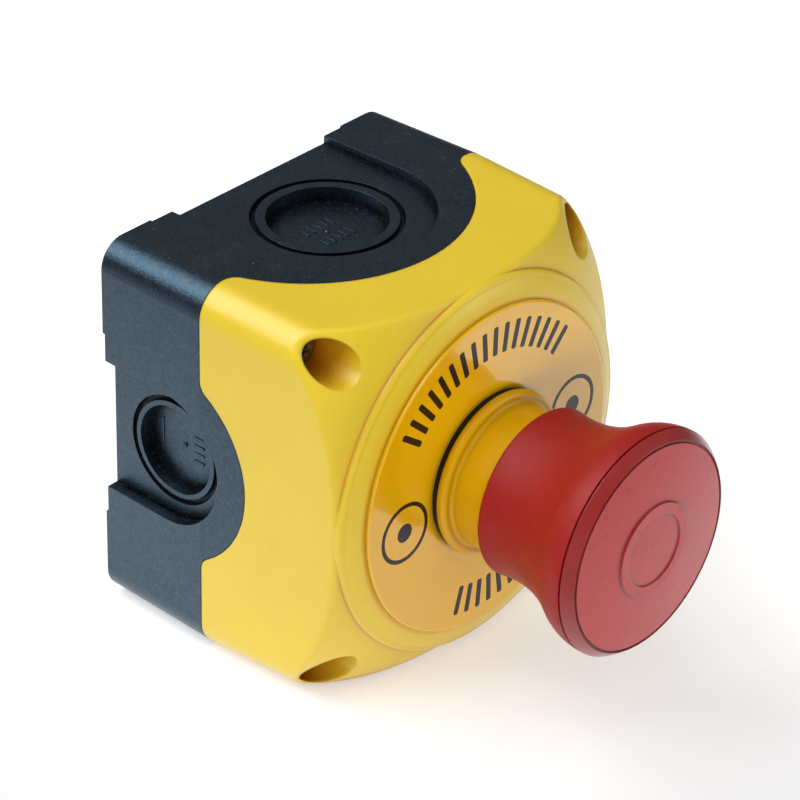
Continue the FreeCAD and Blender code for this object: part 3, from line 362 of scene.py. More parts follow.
class Moulding:
    """A finish with mottled colour, uneven gloss, fine grain and softened edges."""

    def __init__(self, name, tone, gloss, grain, grain_depth, edge, **constants):
        self.material = bpy.data.materials.new(name)
        self.material.use_nodes = True
        self.tree = self.material.node_tree
        self.shader = self.tree.nodes["Principled BSDF"]
        for socket, value in constants.items():
            self.shader.inputs[socket.replace("_", " ")].default_value = value
        tree = self.tree
        self.place = surface_place(tree)
        mottle = noise(tree, self.place, 14 * MM, 3.0)
        self.colour = mixed(tree, mottle, toned(tone, 0.92), toned(tone, 1.08))
        self.roughness = self.patches(5 * MM, 4.0, 0.3, 0.7, gloss * 0.9, gloss * 1.12)
        self.soft_normal = add(tree, "ShaderNodeBevel", {"Radius": edge}, samples=6).outputs["Normal"]
        lumps = noise(tree, self.place, grain, 3.0, 0.6)
        bump = {"Height": lumps, "Distance": grain_depth, "Strength": 1.0, "Normal": self.soft_normal}
        self.normal = add(tree, "ShaderNodeBump", bump).outputs["Normal"]

    def patches(self, size, detail, low, high, start=0.0, end=1.0, roughness=0.5):
        """Patches of noise about as large as size, mapped from low..high to start..end."""
        lumps = noise(self.tree, self.place, size, detail, roughness)
        return between(self.tree, lumps, low, high, start, end)

    def tint(self, mask, tone, amount=1.0):
        """Moves the colour towards another under a mask, by an amount at most."""
        if amount < 1:
            mask = arithmetic(self.tree, "MULTIPLY", mask, amount)
        self.colour = mixed(self.tree, mask, self.colour, tone)

    def dull(self, mask, gloss):
        """Moves the gloss towards another value under a mask."""
        made = add(self.tree, "ShaderNodeMix", data_type="FLOAT")
        join(self.tree, mask, made.inputs[0])
        join(self.tree, self.roughness, made.inputs[2])
        made.inputs[3].default_value = gloss
        self.roughness = made.outputs[0]

    def scratched(self, turn, thickness, run, cover, patch):
        """Fine parallel scratches that show in scattered patches: 0 where there are none."""
        tree = self.tree
        scale = (1 / run, 1 / thickness, 1 / thickness)
        mapping = {"Vector": self.place, "Scale": scale, "Rotation": turn}
        lines = add(tree, "ShaderNodeMapping", mapping).outputs["Vector"]
        streaks = between(tree, noise(tree, lines, 1.0, 2.0), 0.62, 0.74)
        where = self.patches(patch, 1.0, 1 - cover, 1.12 - cover)
        return arithmetic(tree, "MULTIPLY", streaks, where)

    def reach(self):
        """Distance from the button's axis."""
        across = add(self.tree, "ShaderNodeVectorMath", operation="MULTIPLY")
        join(self.tree, self.place, across.inputs[0])
        across.inputs[1].default_value = (1, 0, 1)
        inputs = {"Vector": across.outputs["Vector"]}
        return add(self.tree, "ShaderNodeVectorMath", inputs, operation="LENGTH").outputs["Value"]

    def face_forward(self, radius):
        """Turns the surface straight forward within a radius of the button's axis."""
        tree = self.tree
        turned = add(tree, "ShaderNodeMix", data_type="VECTOR")
        join(tree, between(tree, self.reach(), 0.9 * radius, radius, 1, 0), turned.inputs[0])
        join(tree, self.soft_normal, turned.inputs[4])
        turned.inputs[5].default_value = -BACKWARD
        join(tree, turned.outputs[1], self.normal.node.inputs["Normal"])

    def done(self):
        join(self.tree, self.colour, self.shader.inputs["Base Color"])
        join(self.tree, self.roughness, self.shader.inputs["Roughness"])
        join(self.tree, self.normal, self.shader.inputs["Normal"])
        join(self.tree, self.normal, self.shader.inputs["Coat Normal"])
        return self.material


def metal_finish(name, tone, gloss, grain):
    """Bright or blackened metal with a fine grain and darker spots."""
    made = Moulding(name, tone, gloss, grain, grain_depth=0.004 * MM, edge=0.08 * MM, Metallic=1.0)
    spots = made.patches(0.9 * MM, 4.0, 0.5, 0.72)
    made.tint(spots, toned(tone, 0.45))
    made.dull(spots, min(1.0, gloss * 1.6))
    return made.done()


def rubber_finish(name, sizes):
    """Dull black rubber with a bloom of pale dust."""
    made = Moulding(name, sizes.rubber, gloss=0.62, grain=0.25 * MM, grain_depth=0.01 * MM, edge=0.12 * MM)
    made.tint(made.patches(3 * MM, 4.0, 0.5, 0.8, 0, 0.15), sizes.bloom)
    return made.done()


def dress(material, *names):
    """Gives CAD nodes a finish."""
    for name in names:
        slots = frame["nodes"][name].data.materials
        if not slots:
            slots.append(material)
        for index in range(len(slots)):
            slots[index] = material


# Pieces


def settings_of(context, name):
    return getattr(context.scene, "stop_button_" + name)


def linked(name, data):
    """A new object in the scene."""
    made = bpy.data.objects.new(name, data)
    bpy.context.scene.collection.objects.link(made)
    return made


def mesh_of(shape, name):
    """The mesh of a shape, which is freed."""
    mesh = bpy.data.meshes.new(name)
    shape.to_mesh(mesh)
    shape.free()
    return mesh


def new_piece(name, mesh, body=None):
    """A finished piece at the origin that moves with a CAD body, or with none yet."""
    piece = linked(name, mesh)
    if body:
        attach(piece, body)
    return piece


def surface_point(node, start, direction):
    """Where a line from start first meets a CAD node."""
    hit, place, _normal, _face = frame["nodes"][node].ray_cast(start, direction)
    if not hit:
        raise RuntimeError(f"no surface of {node} lies in that direction")
    return place


class Growth:
    """A Geometry Nodes tree with named inputs, and the plain mesh that it grows."""

    def __init__(self, name):
        self.name = name
        self.tree = bpy.data.node_groups.new(name, "GeometryNodeTree")
        self.tree.interface.new_socket("Geometry", in_out="OUTPUT", socket_type="NodeSocketGeometry")
        self.inlet = self.tree.nodes.new("NodeGroupInput")
        self.outlet = self.tree.nodes.new("NodeGroupOutput")
        self.values = {}

    def take(self, label, value):
        """A named input with its value."""
        kinds = {float: "NodeSocketFloat", int: "NodeSocketInt", bpy.types.Object: "NodeSocketObject",
                 bpy.types.Material: "NodeSocketMaterial"}
        kind = next(made for known, made in kinds.items() if isinstance(value, known))
        socket = self.tree.interface.new_socket(label, in_out="INPUT", socket_type=kind)
        self.values[socket.identifier] = value
        return next(made for made in self.inlet.outputs if made.identifier == socket.identifier)

    def add(self, kind, inputs=None, **settings):
        return add(self.tree, kind, inputs, **settings)

    def math(self, operation, first, second):
        return arithmetic(self.tree, operation, first, second)

    def vector(self, x=0.0, y=0.0, z=0.0):
        return self.add("ShaderNodeCombineXYZ", {"X": x, "Y": y, "Z": z}).outputs["Vector"]

    def joined(self, *parts):
        made = self.add("GeometryNodeJoinGeometry")
        for part in parts:
            self.tree.links.new(part, made.inputs["Geometry"])
        return made.outputs["Geometry"]

    def grid(self, across, along, columns, rows):
        """Points in rows about the origin."""
        sides = {"Size X": across, "Size Y": along, "Vertices X": columns, "Vertices Y": rows}
        return self.add("GeometryNodeMeshGrid", sides).outputs["Mesh"]

    def moved(self, shape, **change):
        """A shape that is moved, turned or scaled."""
        return self.add("GeometryNodeTransform", {"Geometry": shape, **change}).outputs["Geometry"]

    def copies(self, points, item, turn=(0, 0, 0)):
        """A copy of an item at every point."""
        inputs = {"Points": points, "Instance": item, "Rotation": turn}
        return self.add("GeometryNodeInstanceOnPoints", inputs).outputs["Instances"]

    def raised(self, curves, height):
        """Closed curves filled and raised into a flat solid."""
        flat = self.add("GeometryNodeFillCurve", {"Curve": curves}, mode="NGONS").outputs["Mesh"]
        lift = {"Mesh": flat, "Offset Scale": height, "Individual": False}
        lifted = self.add("GeometryNodeExtrudeMesh", lift).outputs["Mesh"]
        under = self.add("GeometryNodeFlipFaces", {"Mesh": flat}).outputs["Mesh"]
        closed = {"Geometry": self.joined(lifted, under), "Distance": MERGE}
        return self.add("GeometryNodeMergeByDistance", closed).outputs["Geometry"]

    def circle(self, radius):
        inputs = {"Resolution": 64, "Radius": radius}
        return self.add("GeometryNodeCurvePrimitiveCircle", inputs).outputs["Curve"]

    def round_bar(self, width, run, height):
        """A flat bar with rounded corners that lies along Y."""
        sides = {"Width": width, "Height": run}
        box = self.add("GeometryNodeCurvePrimitiveQuadrilateral", sides).outputs["Curve"]
        corner = self.math("MULTIPLY", width, 0.3)
        fillet = {"Curve": box, "Radius": corner, "Limit Radius": True, "Count": 4}
        rounded = self.add("GeometryNodeFilletCurve", fillet, mode="POLY").outputs["Curve"]
        return self.raised(rounded, height)

    def grow(self, result, material):
        """The mesh of the finished tree."""
        real = self.add("GeometryNodeRealizeInstances", {"Geometry": result}).outputs["Geometry"]
        finish = self.take("Material", material)
        last = self.add("GeometryNodeSetMaterial", {"Geometry": real, "Material": finish})
        self.tree.links.new(last.outputs["Geometry"], self.outlet.inputs["Geometry"])
        carrier = linked(self.name, bpy.data.meshes.new(self.name))
        modifier = carrier.modifiers.new(self.name, "NODES")
        modifier.node_group = self.tree
        for identifier, value in self.values.items():
            modifier[identifier] = value
        graph = bpy.context.evaluated_depsgraph_get()
        mesh = bpy.data.meshes.new_from_object(carrier.evaluated_get(graph))
        carrier.modifiers.remove(modifier)
        bpy.data.objects.remove(carrier)
        if not mesh.polygons:
            raise RuntimeError(f"{self.name} grew no faces")
        return mesh


class STOPBUTTON_OT_enclosure(bpy.types.Operator):
    """Gives the cover, the base and their seals their finishes"""

    bl_idname = "stop_button.enclosure"
    bl_label = "Finish the enclosure"

    def execute(self, context):
        sizes = settings_of(context, "enclosure")
        dress(self.cover_finish(sizes), "cover")
        dress(self.base_finish(sizes), "base_box")
        rubber = rubber_finish("enclosure_rubber", settings_of(context, "collar"))
        dress(rubber, "cover_seal", "screw_seals")
        return {"FINISHED"}

    def cover_finish(self, sizes):
        made = Moulding(
            "satin_yellow", sizes.cover_yellow, gloss=0.40, grain=sizes.grain, grain_depth=0.006 * MM,
            edge=sizes.cover_edge, IOR=1.5, Coat_Weight=0.8, Coat_Roughness=0.36,
            Subsurface_Weight=0.06, Subsurface_Scale=0.5 * MM,
        )
        flow = made.patches(40 * MM, 1.0, 0.35, 0.65, 0, 0.10)
        made.tint(flow, toned(sizes.cover_yellow, 0.9))
        # Painted shade: deep in the wells the cover turns darker orange, and by half along the creases by the
        # ring and plate.
        made.tint(hollows(made.tree, 7 * MM, shallow=0.90, deep=0.45), sizes.cover_painted_shade)
        painted_crease_shade = hollows(made.tree, 2.2 * MM, alone=False, shallow=0.96, deep=0.72)
        made.tint(painted_crease_shade, sizes.cover_painted_shade, 0.5)
        slant = (0.3, 0.5, 0.8)
        rubs = made.scratched(turn=slant, thickness=0.12 * MM, run=4 * MM, cover=0.36, patch=12 * MM)
        made.dull(rubs, 0.5)
        return made.done()

    def base_finish(self, sizes):
        # The bluish specular tint is a painted reflection: every reflection takes the cool cast of the
        # surroundings.
        made = Moulding(
            "grained_black", sizes.base_black, gloss=0.27, grain=sizes.grain, grain_depth=0.058 * MM,
            edge=sizes.base_edge, IOR=1.56, Specular_Tint=(0.39, 0.70, 1.0, 1.0),
        )
        # Painted shade on reflections: the specular level falls nearly to nothing in hollows; the blotches
        # are uneven gloss.
        shaded_blotchy_shine = between(made.tree, hollows(made.tree, 4 * MM), 0, 0.75, 0.98, 0.02)
        blotches = made.patches(1.0 * MM, 6.0, 0.35, 0.65, 0.80, 1.20, roughness=0.74)
        shaded_blotchy_shine = arithmetic(made.tree, "MULTIPLY", shaded_blotchy_shine, blotches)
        join(made.tree, shaded_blotchy_shine, made.shader.inputs["Specular IOR Level"])
        bloom = made.patches(7 * MM, 5.0, 0.40, 0.75, 0, 0.014, roughness=0.6)
        made.tint(bloom, sizes.dust)
        # Partly wear and partly a painted highlight: the base's edges lighten towards the worn-edge colour.
        made.tint(edge_band(made.tree, made.soft_normal), sizes.edge_wear_and_highlight, 0.25)
        scuffs = made.scratched(turn=(0, 0, 0.5), thickness=0.10 * MM, run=3 * MM, cover=0.40, patch=9 * MM)
        made.tint(scuffs, sizes.dust, 0.06)
        dust = specks(made.tree, made.place, spacing=1.3 * MM, radius=0.12 * MM, rarity=0.93)
        made.tint(dust, sizes.dust, 0.55)
        grit = made.patches(0.5 * MM, 2.0, 0.58, 0.72, 0, 0.05)
        made.tint(grit, sizes.dust)
        return made.done()


class STOPBUTTON_OT_legend(bpy.types.Operator):
    """Finishes the legend plate and prints its bars and signs"""

    bl_idname = "stop_button.legend"
    bl_label = "Print the legend plate"

    def execute(self, context):
        sizes = settings_of(context, "legend")
        dress(self.plate_finish(sizes), "legend_disc")
        ink = self.ink_finish(sizes)
        for name, start, count in (
            ("upper", sizes.upper_start, sizes.upper_count),
            ("lower", sizes.lower_start, sizes.lower_count),
        ):
            new_piece(f"legend_{name}_bars", self.bars(sizes, ink, name, start, count), "enclosure")
        new_piece("legend_signs", self.signs(sizes, ink), "enclosure")
        return {"FINISHED"}

    def plate_finish(self, sizes):
        made = Moulding(
            "glossy_plate", sizes.plate_yellow, gloss=0.20, grain=0.8 * MM, grain_depth=0.002 * MM,
            edge=0.15 * MM, IOR=1.5, Coat_Weight=1.0, Coat_Roughness=0.07,
        )
        # Painted shade: the plate darkens towards a deep orange round the collar, along the ring and beside
        # the print.
        made.tint(hollows(made.tree, 1.4 * MM, alone=False), toned(sizes.plate_yellow, 0.4), 0.9)
        wiped = made.scratched(turn=(0, 0.4, 0), thickness=0.08 * MM, run=6 * MM, cover=0.40, patch=10 * MM)
        made.dull(wiped, 0.34)
        return made.done()

    def ink_finish(self, sizes):
        made = Moulding(
            "printed_ink", sizes.ink, gloss=0.34, grain=0.3 * MM, grain_depth=0.003 * MM,
            edge=0.01 * MM, IOR=1.45, Coat_Weight=0.15,
        )
        made.tint(made.patches(0.5 * MM, 4.0, 0.55, 0.8, 0, 0.05), sizes.thin_ink)
        return made.done()

    def bars(self, sizes, ink, name, start, count):
        growth = Growth(f"legend_{name}_bars")
        width = growth.take("Bar width", sizes.bar_width)
        run = growth.take("Bar length", sizes.bar_length)
        bar = growth.round_bar(width, run, growth.take("Ink height", sizes.ink_height))
        return self.circled(growth, bar, count, start, sizes.bar_pitch, sizes.bar_radius, ink)

    def signs(self, sizes, ink):
        """Two plain rings, each with a dot in it."""
        growth = Growth("legend_signs")
        radius = growth.take("Sign radius", sizes.sign_radius)
        half = growth.math("MULTIPLY", growth.take("Stroke", sizes.sign_stroke), 0.5)
        height = growth.take("Ink height", sizes.ink_height)
        outer = growth.circle(growth.math("ADD", radius, half))
        inner = growth.circle(growth.math("SUBTRACT", radius, half))
        dot = growth.circle(growth.take("Dot radius", sizes.sign_dot))
        sign = growth.raised(growth.joined(outer, inner, dot), height)
        return self.circled(growth, sign, 2, sizes.sign_turn, math.pi, sizes.sign_circle, ink)

    def circled(self, growth, item, count, start, pitch, radius, ink):
        """Copies of a flat item on a circle of the plate's face, each turned to point outward."""
        number = growth.take("Count", count)
        first = growth.take("Start angle", start)
        step = growth.take("Pitch angle", pitch)
        reach = growth.take("Circle radius", radius)
        depth = growth.take("Plate face", disc_front)
        points = growth.add("GeometryNodeMeshLine", {"Count": number, "Offset": (0, 0, 0)}).outputs["Mesh"]
        index = growth.add("GeometryNodeInputIndex").outputs["Index"]
        bearing = growth.math("ADD", first, growth.math("MULTIPLY", index, step))
        across = growth.math("MULTIPLY", reach, growth.math("COSINE", bearing, 0.0))
        along = growth.math("MULTIPLY", reach, growth.math("SINE", bearing, 0.0))
        place = growth.vector(across, depth, along)
        inputs = {"Geometry": points, "Position": place}
        placed = growth.add("GeometryNodeSetPosition", inputs).outputs["Geometry"]
        turn = growth.vector(math.pi / 2, growth.math("SUBTRACT", math.pi / 2, bearing), 0.0)
        return growth.grow(growth.copies(placed, item, turn), ink)


class STOPBUTTON_OT_collar(bpy.types.Operator):
    """Finishes the collar, its gasket and the stem's seal"""

    bl_idname = "stop_button.collar"
    bl_label = "Finish the collar"

    def execute(self, context):
        sizes = settings_of(context, "collar")
        made = Moulding(
            "glossy_collar", sizes.collar_yellow, gloss=0.24, grain=0.5 * MM, grain_depth=0.003 * MM,
            edge=0.2 * MM, IOR=1.5, Specular_IOR_Level=0.32, Coat_Weight=0.1, Coat_Roughness=0.1,
        )
        # Painted shade: the collar darkens towards brown in its hollows and beside the gasket, plate and
        # head.
        made.tint(hollows(made.tree, 3 * MM, alone=False), toned(sizes.collar_yellow, 0.3), 0.8)
        across = (0, 0, math.pi / 2)
        rubs = made.scratched(turn=across, thickness=0.15 * MM, run=5 * MM, cover=0.42, patch=6 * MM)
        made.dull(rubs, 0.42)
        dress(made.done(), "bezel")
        dress(rubber_finish("collar_rubber", sizes), "bezel_gasket", "stem_seal")
        return {"FINISHED"}


class STOPBUTTON_OT_mushroom(bpy.types.Operator):
    """Finishes the push head and its front disc"""

    bl_idname = "stop_button.mushroom"
    bl_label = "Finish the mushroom head"

    def execute(self, context):
        sizes = settings_of(context, "mushroom")
        skirt = self.head_finish("satin_red", sizes, sizes.head_red, gloss=0.48, sheen=0.0, marked=0.4)
        dress(skirt.done(), "head_body")
        cap = self.head_finish("satin_red_cap", sizes, sizes.cap_red, gloss=0.42, sheen=1.0, marked=1.0)
        cap.face_forward(sizes.middle_radius)
        # Painted shade: a dark line is painted in the creases of the cap's face and ridge.
        painted_crease_shade = hollows(cap.tree, 1.2 * MM, shallow=0.985, deep=0.75)
        cap.tint(painted_crease_shade, toned(sizes.cap_red, 0.3), 0.85)
        # Painted shade: the cap's sloping rim beyond the face radius is darkened.
        soft = 0.1 * MM
        rim = between(cap.tree, cap.reach(), sizes.face_radius - soft, sizes.face_radius + soft, 0, 0.85)
        cap.tint(rim, toned(sizes.cap_red, 0.55))
        dress(cap.done(), "head_cap")
        return {"FINISHED"}

    def head_finish(self, name, sizes, tone, gloss, sheen, marked):
        made = Moulding(
            name, tone, gloss, grain=0.4 * MM, grain_depth=0.008 * MM, edge=0.22 * MM,
            IOR=1.5, Specular_IOR_Level=0.3, Coat_Weight=sheen, Coat_Roughness=0.3,
        )
        smudges = made.patches(2.2 * MM, 5.0, 0.56, 0.68, roughness=0.65)
        made.tint(smudges, toned(tone, 0.4), marked * sizes.smudge)
        rubs = made.scratched(turn=(0.6, 0, 0.3), thickness=0.10 * MM, run=2.5 * MM, cover=0.42, patch=7 * MM)
        made.tint(rubs, sizes.rubbed, 0.10)
        made.dull(rubs, 0.55)
        return made


class STOPBUTTON_OT_cover_screws(bpy.types.Operator):
    """Builds the four cover screws with cross recess and thread"""

    bl_idname = "stop_button.cover_screws"
    bl_label = "Build the cover screws"

    def execute(self, context):
        sizes = settings_of(context, "screws")
        metal = metal_finish("blackened_screw", sizes.metal, gloss=0.34, grain=0.2 * MM)
        pattern = self.pattern(sizes)
        growth = Growth("cover_screw_heads")
        screw = growth.add("GeometryNodeObjectInfo", {"Object": growth.take("Screw", pattern)})
        across = growth.take("Spacing across", screws_high.x - screws_low.x - 2 * sizes.head_radius)
        along = growth.take("Spacing along", screws_high.z - screws_low.z - 2 * sizes.head_radius)
        front = growth.take("Head front", screws_low.y)
        corners = growth.grid(across, along, 2, 2)
        upright = (math.pi / 2, 0, 0)
        placed = growth.moved(corners, Translation=growth.vector(0.0, front, 0.0), Rotation=upright)
        index = growth.add("GeometryNodeInputIndex").outputs["Index"]
        turn = growth.vector(0.0, growth.math("MULTIPLY", index, growth.take("Turn step", 0.55)), 0.0)
        mesh = growth.grow(growth.copies(placed, screw.outputs["Geometry"], turn), metal)
        bpy.data.objects.remove(pattern)
        piece = new_piece("cover_screw_heads", mesh, "enclosure")
        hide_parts("cover_screws")
        return {"FINISHED"}

    def pattern(self, sizes):
        """One screw whose head front lies at the origin and whose shank points backward."""
        reach = screws_high.y - screws_low.y
        head, shank = sizes.head_radius, sizes.shank_radius
        chamfer = 0.15 * MM
        profile = [
            (0.0, 0.0), (0.55 * head, 0.02 * head), (0.84 * head, 0.09 * head), (0.95 * head, 0.17 * head),
            (head, 0.30 * head), (head, sizes.head_height - chamfer),
            (head - chamfer, sizes.head_height), (shank, sizes.head_height),
        ]
        depth = sizes.head_height + sizes.thread_pitch
        while depth < reach - 2 * sizes.thread_pitch:
            profile.append((shank, depth))
            profile.append((shank - sizes.thread_depth, depth + sizes.thread_pitch / 2))
            depth += sizes.thread_pitch
        profile += [(shank, depth), (0.6 * shank, reach), (0.0, reach)]
        shape = bmesh.new()
        points = [shape.verts.new((radius, depth, 0)) for radius, depth in profile]
        edges = [shape.edges.new(pair) for pair in zip(points, points[1:])]
        bmesh.ops.spin(
            shape, geom=points + edges, cent=(0, 0, 0), axis=BACKWARD, angle=2 * math.pi, steps=40,
            use_merge=True,
        )
        bmesh.ops.remove_doubles(shape, verts=shape.verts, dist=MERGE)
        bmesh.ops.recalc_face_normals(shape, faces=shape.faces)
        screw = linked("screw_pattern", mesh_of(shape, "screw_pattern"))
        self.recess(screw, sizes)
        return screw

    def recess(self, screw, sizes):
        """Cuts the tapered cross into the head."""
        shape = bmesh.new()
        half_long, half_wide = sizes.cross_length / 2, sizes.cross_width / 2
        proud, wide_mouth, narrow_floor = 0.5 * MM, 1.15, 0.45
        for turn in (0, math.pi / 2):
            corners = []
            for depth, narrow in ((-proud, wide_mouth), (sizes.cross_depth, narrow_floor)):
                for side, end in ((-1, -1), (1, -1), (1, 1), (-1, 1)):
                    corner = Vector((side * half_long * narrow, depth, end * half_wide * narrow))
                    corners.append(shape.verts.new(Matrix.Rotation(turn, 3, "Y") @ corner))
            shape.faces.new(corners[:4])
            shape.faces.new(corners[4:])
            for side in range(4):
                after = (side + 1) % 4
                shape.faces.new((corners[side], corners[after], corners[4 + after], corners[4 + side]))
        bmesh.ops.recalc_face_normals(shape, faces=shape.faces)
        tool = linked("cross_tool", mesh_of(shape, "cross_tool"))
        cut = screw.modifiers.new("cross", "BOOLEAN")
        cut.operation = "DIFFERENCE"
        cut.solver = "EXACT"
        cut.use_self = True
        cut.object = tool
        graph = bpy.context.evaluated_depsgraph_get()
        result = bpy.data.meshes.new_from_object(screw.evaluated_get(graph))
        screw.modifiers.remove(cut)
        screw.data = result
        bpy.data.objects.remove(tool)


class STOPBUTTON_OT_knockout_marks(bpy.types.Operator):
    """Raises the moulded bars and pips on the knock-out floors"""

    bl_idname = "stop_button.knockout_marks"
    bl_label = "Mould the knock-out marks"

    def execute(self, context):
        sizes = settings_of(context, "knockouts")
        material = frame["nodes"]["base_box"].data.materials[0]
        shape = bmesh.new()
        for side, (outward, reading) in SIDES.items():
            end = side in ("top", "bottom")
            depth = sizes.end_depth if end else sizes.flank_depth
            floor = surface_point("base_box", outward * OUTSIDE - BACKWARD * depth, -outward)
            upright = outward.cross(reading)
            stand = Matrix((reading, upright, outward)).transposed().to_4x4()
            stand.translation = floor
            marks = self.end_marks if end else self.flank_marks
            mesh = marks(sizes, side, material)
            mesh.transform(stand)
            shape.from_mesh(mesh)
        whole = mesh_of(shape, "knockout_marks")
        whole.materials.append(material)
        new_piece("knockout_marks", whole, "enclosure")
        return {"FINISHED"}

    def end_marks(self, sizes, side, material):
        """Two rows of bars with a pip between them."""
        growth = Growth(f"knockout_{side}_marks")
        height = growth.take("Mark height", sizes.mark_height)
        bars = self.bars(growth, sizes, height, rows=2, columns=5)
        return growth.grow(growth.joined(bars, self.pip(growth, sizes)), material)

    def flank_marks(self, sizes, side, material):
        """One row of bars in front of the pip and a straight rib behind it."""
        growth = Growth(f"knockout_{side}_marks")
        height = growth.take("Mark height", sizes.mark_height)
        shift = growth.math("MULTIPLY", growth.take("Row shift", sizes.flank_shift), -1.0)
        row = self.bars(growth, sizes, height, rows=1, columns=4)
        bars = growth.moved(row, Translation=growth.vector(0.0, shift))
        run = growth.take("Rib length", sizes.rib_length)
        stick = growth.round_bar(run, growth.take("Rib width", sizes.mark_width), height)
        behind = growth.vector(0.0, growth.take("Rib shift", sizes.rib_shift))
        rib = growth.moved(stick, Translation=behind)
        return growth.grow(growth.joined(bars, rib, self.pip(growth, sizes)), material)

    def bars(self, growth, sizes, height, rows, columns):
        """Rows of short bars about the middle."""
        run = growth.take("Mark length", sizes.mark_length)
        pitch = growth.take("Mark pitch", sizes.mark_pitch)
        number = growth.take("Columns", columns)
        lines = growth.take("Rows", rows)
        span = growth.math("MULTIPLY", growth.math("SUBTRACT", number, 1.0), pitch)
        row_pitch = growth.math("MULTIPLY", run, growth.take("Row spacing", 1.9))
        rise = growth.math("MULTIPLY", growth.math("SUBTRACT", lines, 1.0), row_pitch)
        bar = growth.round_bar(growth.take("Mark width", sizes.mark_width), run, height)
        return growth.copies(growth.grid(span, rise, number, lines), bar)

    def pip(self, growth, sizes):
        """A low round bump."""
        radius = growth.take("Pip radius", sizes.pip_radius)
        sphere = {"Radius": radius, "Segments": 16, "Rings": 8}
        ball = growth.add("GeometryNodeMeshUVSphere", sphere).outputs["Mesh"]
        return growth.moved(ball, Scale=(1, 1, 0.6))


class STOPBUTTON_OT_mechanism(bpy.types.Operator):
    """Finishes the pieces inside the box"""

    bl_idname = "stop_button.mechanism"
    bl_label = "Finish the mechanism"

    def execute(self, context):
        by_slot = {
            "black_nylon": self.nylon("black_nylon", (0.018, 0.018, 0.020), 0.42, 0.008 * MM, 0.15 * MM),
            "pale_nylon": self.nylon("pale_nylon", (0.62, 0.60, 0.55), 0.40, 0.006 * MM, 0.15 * MM),
            "grey_block": self.nylon("grey_block", (0.10, 0.105, 0.115), 0.45, 0.010 * MM, 0.2 * MM),
            "contact_brass": metal_finish("stamped_brass", (0.72, 0.52, 0.22), gloss=0.28, grain=0.2 * MM),
            "plated_screw": metal_finish("zinc_plate", (0.62, 0.62, 0.60), gloss=0.30, grain=0.2 * MM),
        }
        for part in frame["record"]["subparts"]:
            if part["material_slot"] in by_slot:
                dress(by_slot[part["material_slot"]], part["node"])
        return {"FINISHED"}

    def nylon(self, name, tone, gloss, grain_depth, edge):
        return Moulding(name, tone, gloss, grain=0.3 * MM, grain_depth=grain_depth, edge=edge).done()


class STOPBUTTON_OT_springs(bpy.types.Operator):
    """Gives each spring a smooth copy of its coils, which moves with its joint's parent body or stays where
    it is
    """

    bl_idname = "stop_button.springs"
    bl_label = "Fit the springs"

    def execute(self, context):
        steel = metal_finish("drawn_wire", (0.56, 0.56, 0.55), gloss=0.26, grain=0.15 * MM)
        for joint in frame["record"]["behaviour"]["joints"]:
            for spring in joint["deforming_nodes"]:
                self.fit(spring, joint, self.coils(spring["node"], steel))
        return {"FINISHED"}

    def coils(self, node, steel):
        """A copy of a CAD spring with its loose triangles joined."""
        shape = bmesh.new()
        shape.from_mesh(frame["nodes"][node].data)
        bmesh.ops.remove_doubles(shape, verts=shape.verts, dist=MERGE)
        mesh = mesh_of(shape, f"{node}_coils")
        mesh.shade_smooth()
        mesh.set_sharp_from_angle(angle=math.radians(40))
        mesh.materials.append(steel)
        return mesh

    def fit(self, spring, joint, mesh):
        """Ties the coils to the joint: pressed ones move with the joint's parent body, and stretched ones
        stay where they are.
        """
        node, letter = spring["node"], spring["mode"][-1]
        fixed, free = self.ends(node, "xyz".index(letter), spring[f"fixed_end_{letter}_m"])
        run = free - fixed
        pressed = (run + joint["range_m"][1] * Vector(joint["axis"])).length
        if pressed < run.length:
            piece = new_piece(mesh.name, mesh, joint["parent"])
            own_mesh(piece)
        else:
            piece = new_piece(mesh.name, mesh, None)
            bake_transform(piece)
        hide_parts(node)

    def ends(self, node, axis, fixed_at):
        """The middles of a spring's fixed end and of its free end."""
        low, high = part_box(node)
        fixed = (low + high) / 2
        free = fixed.copy()
        fixed[axis] = fixed_at
        free[axis] = max(low[axis], high[axis], key=lambda place: abs(place - fixed_at))
        return fixed, free


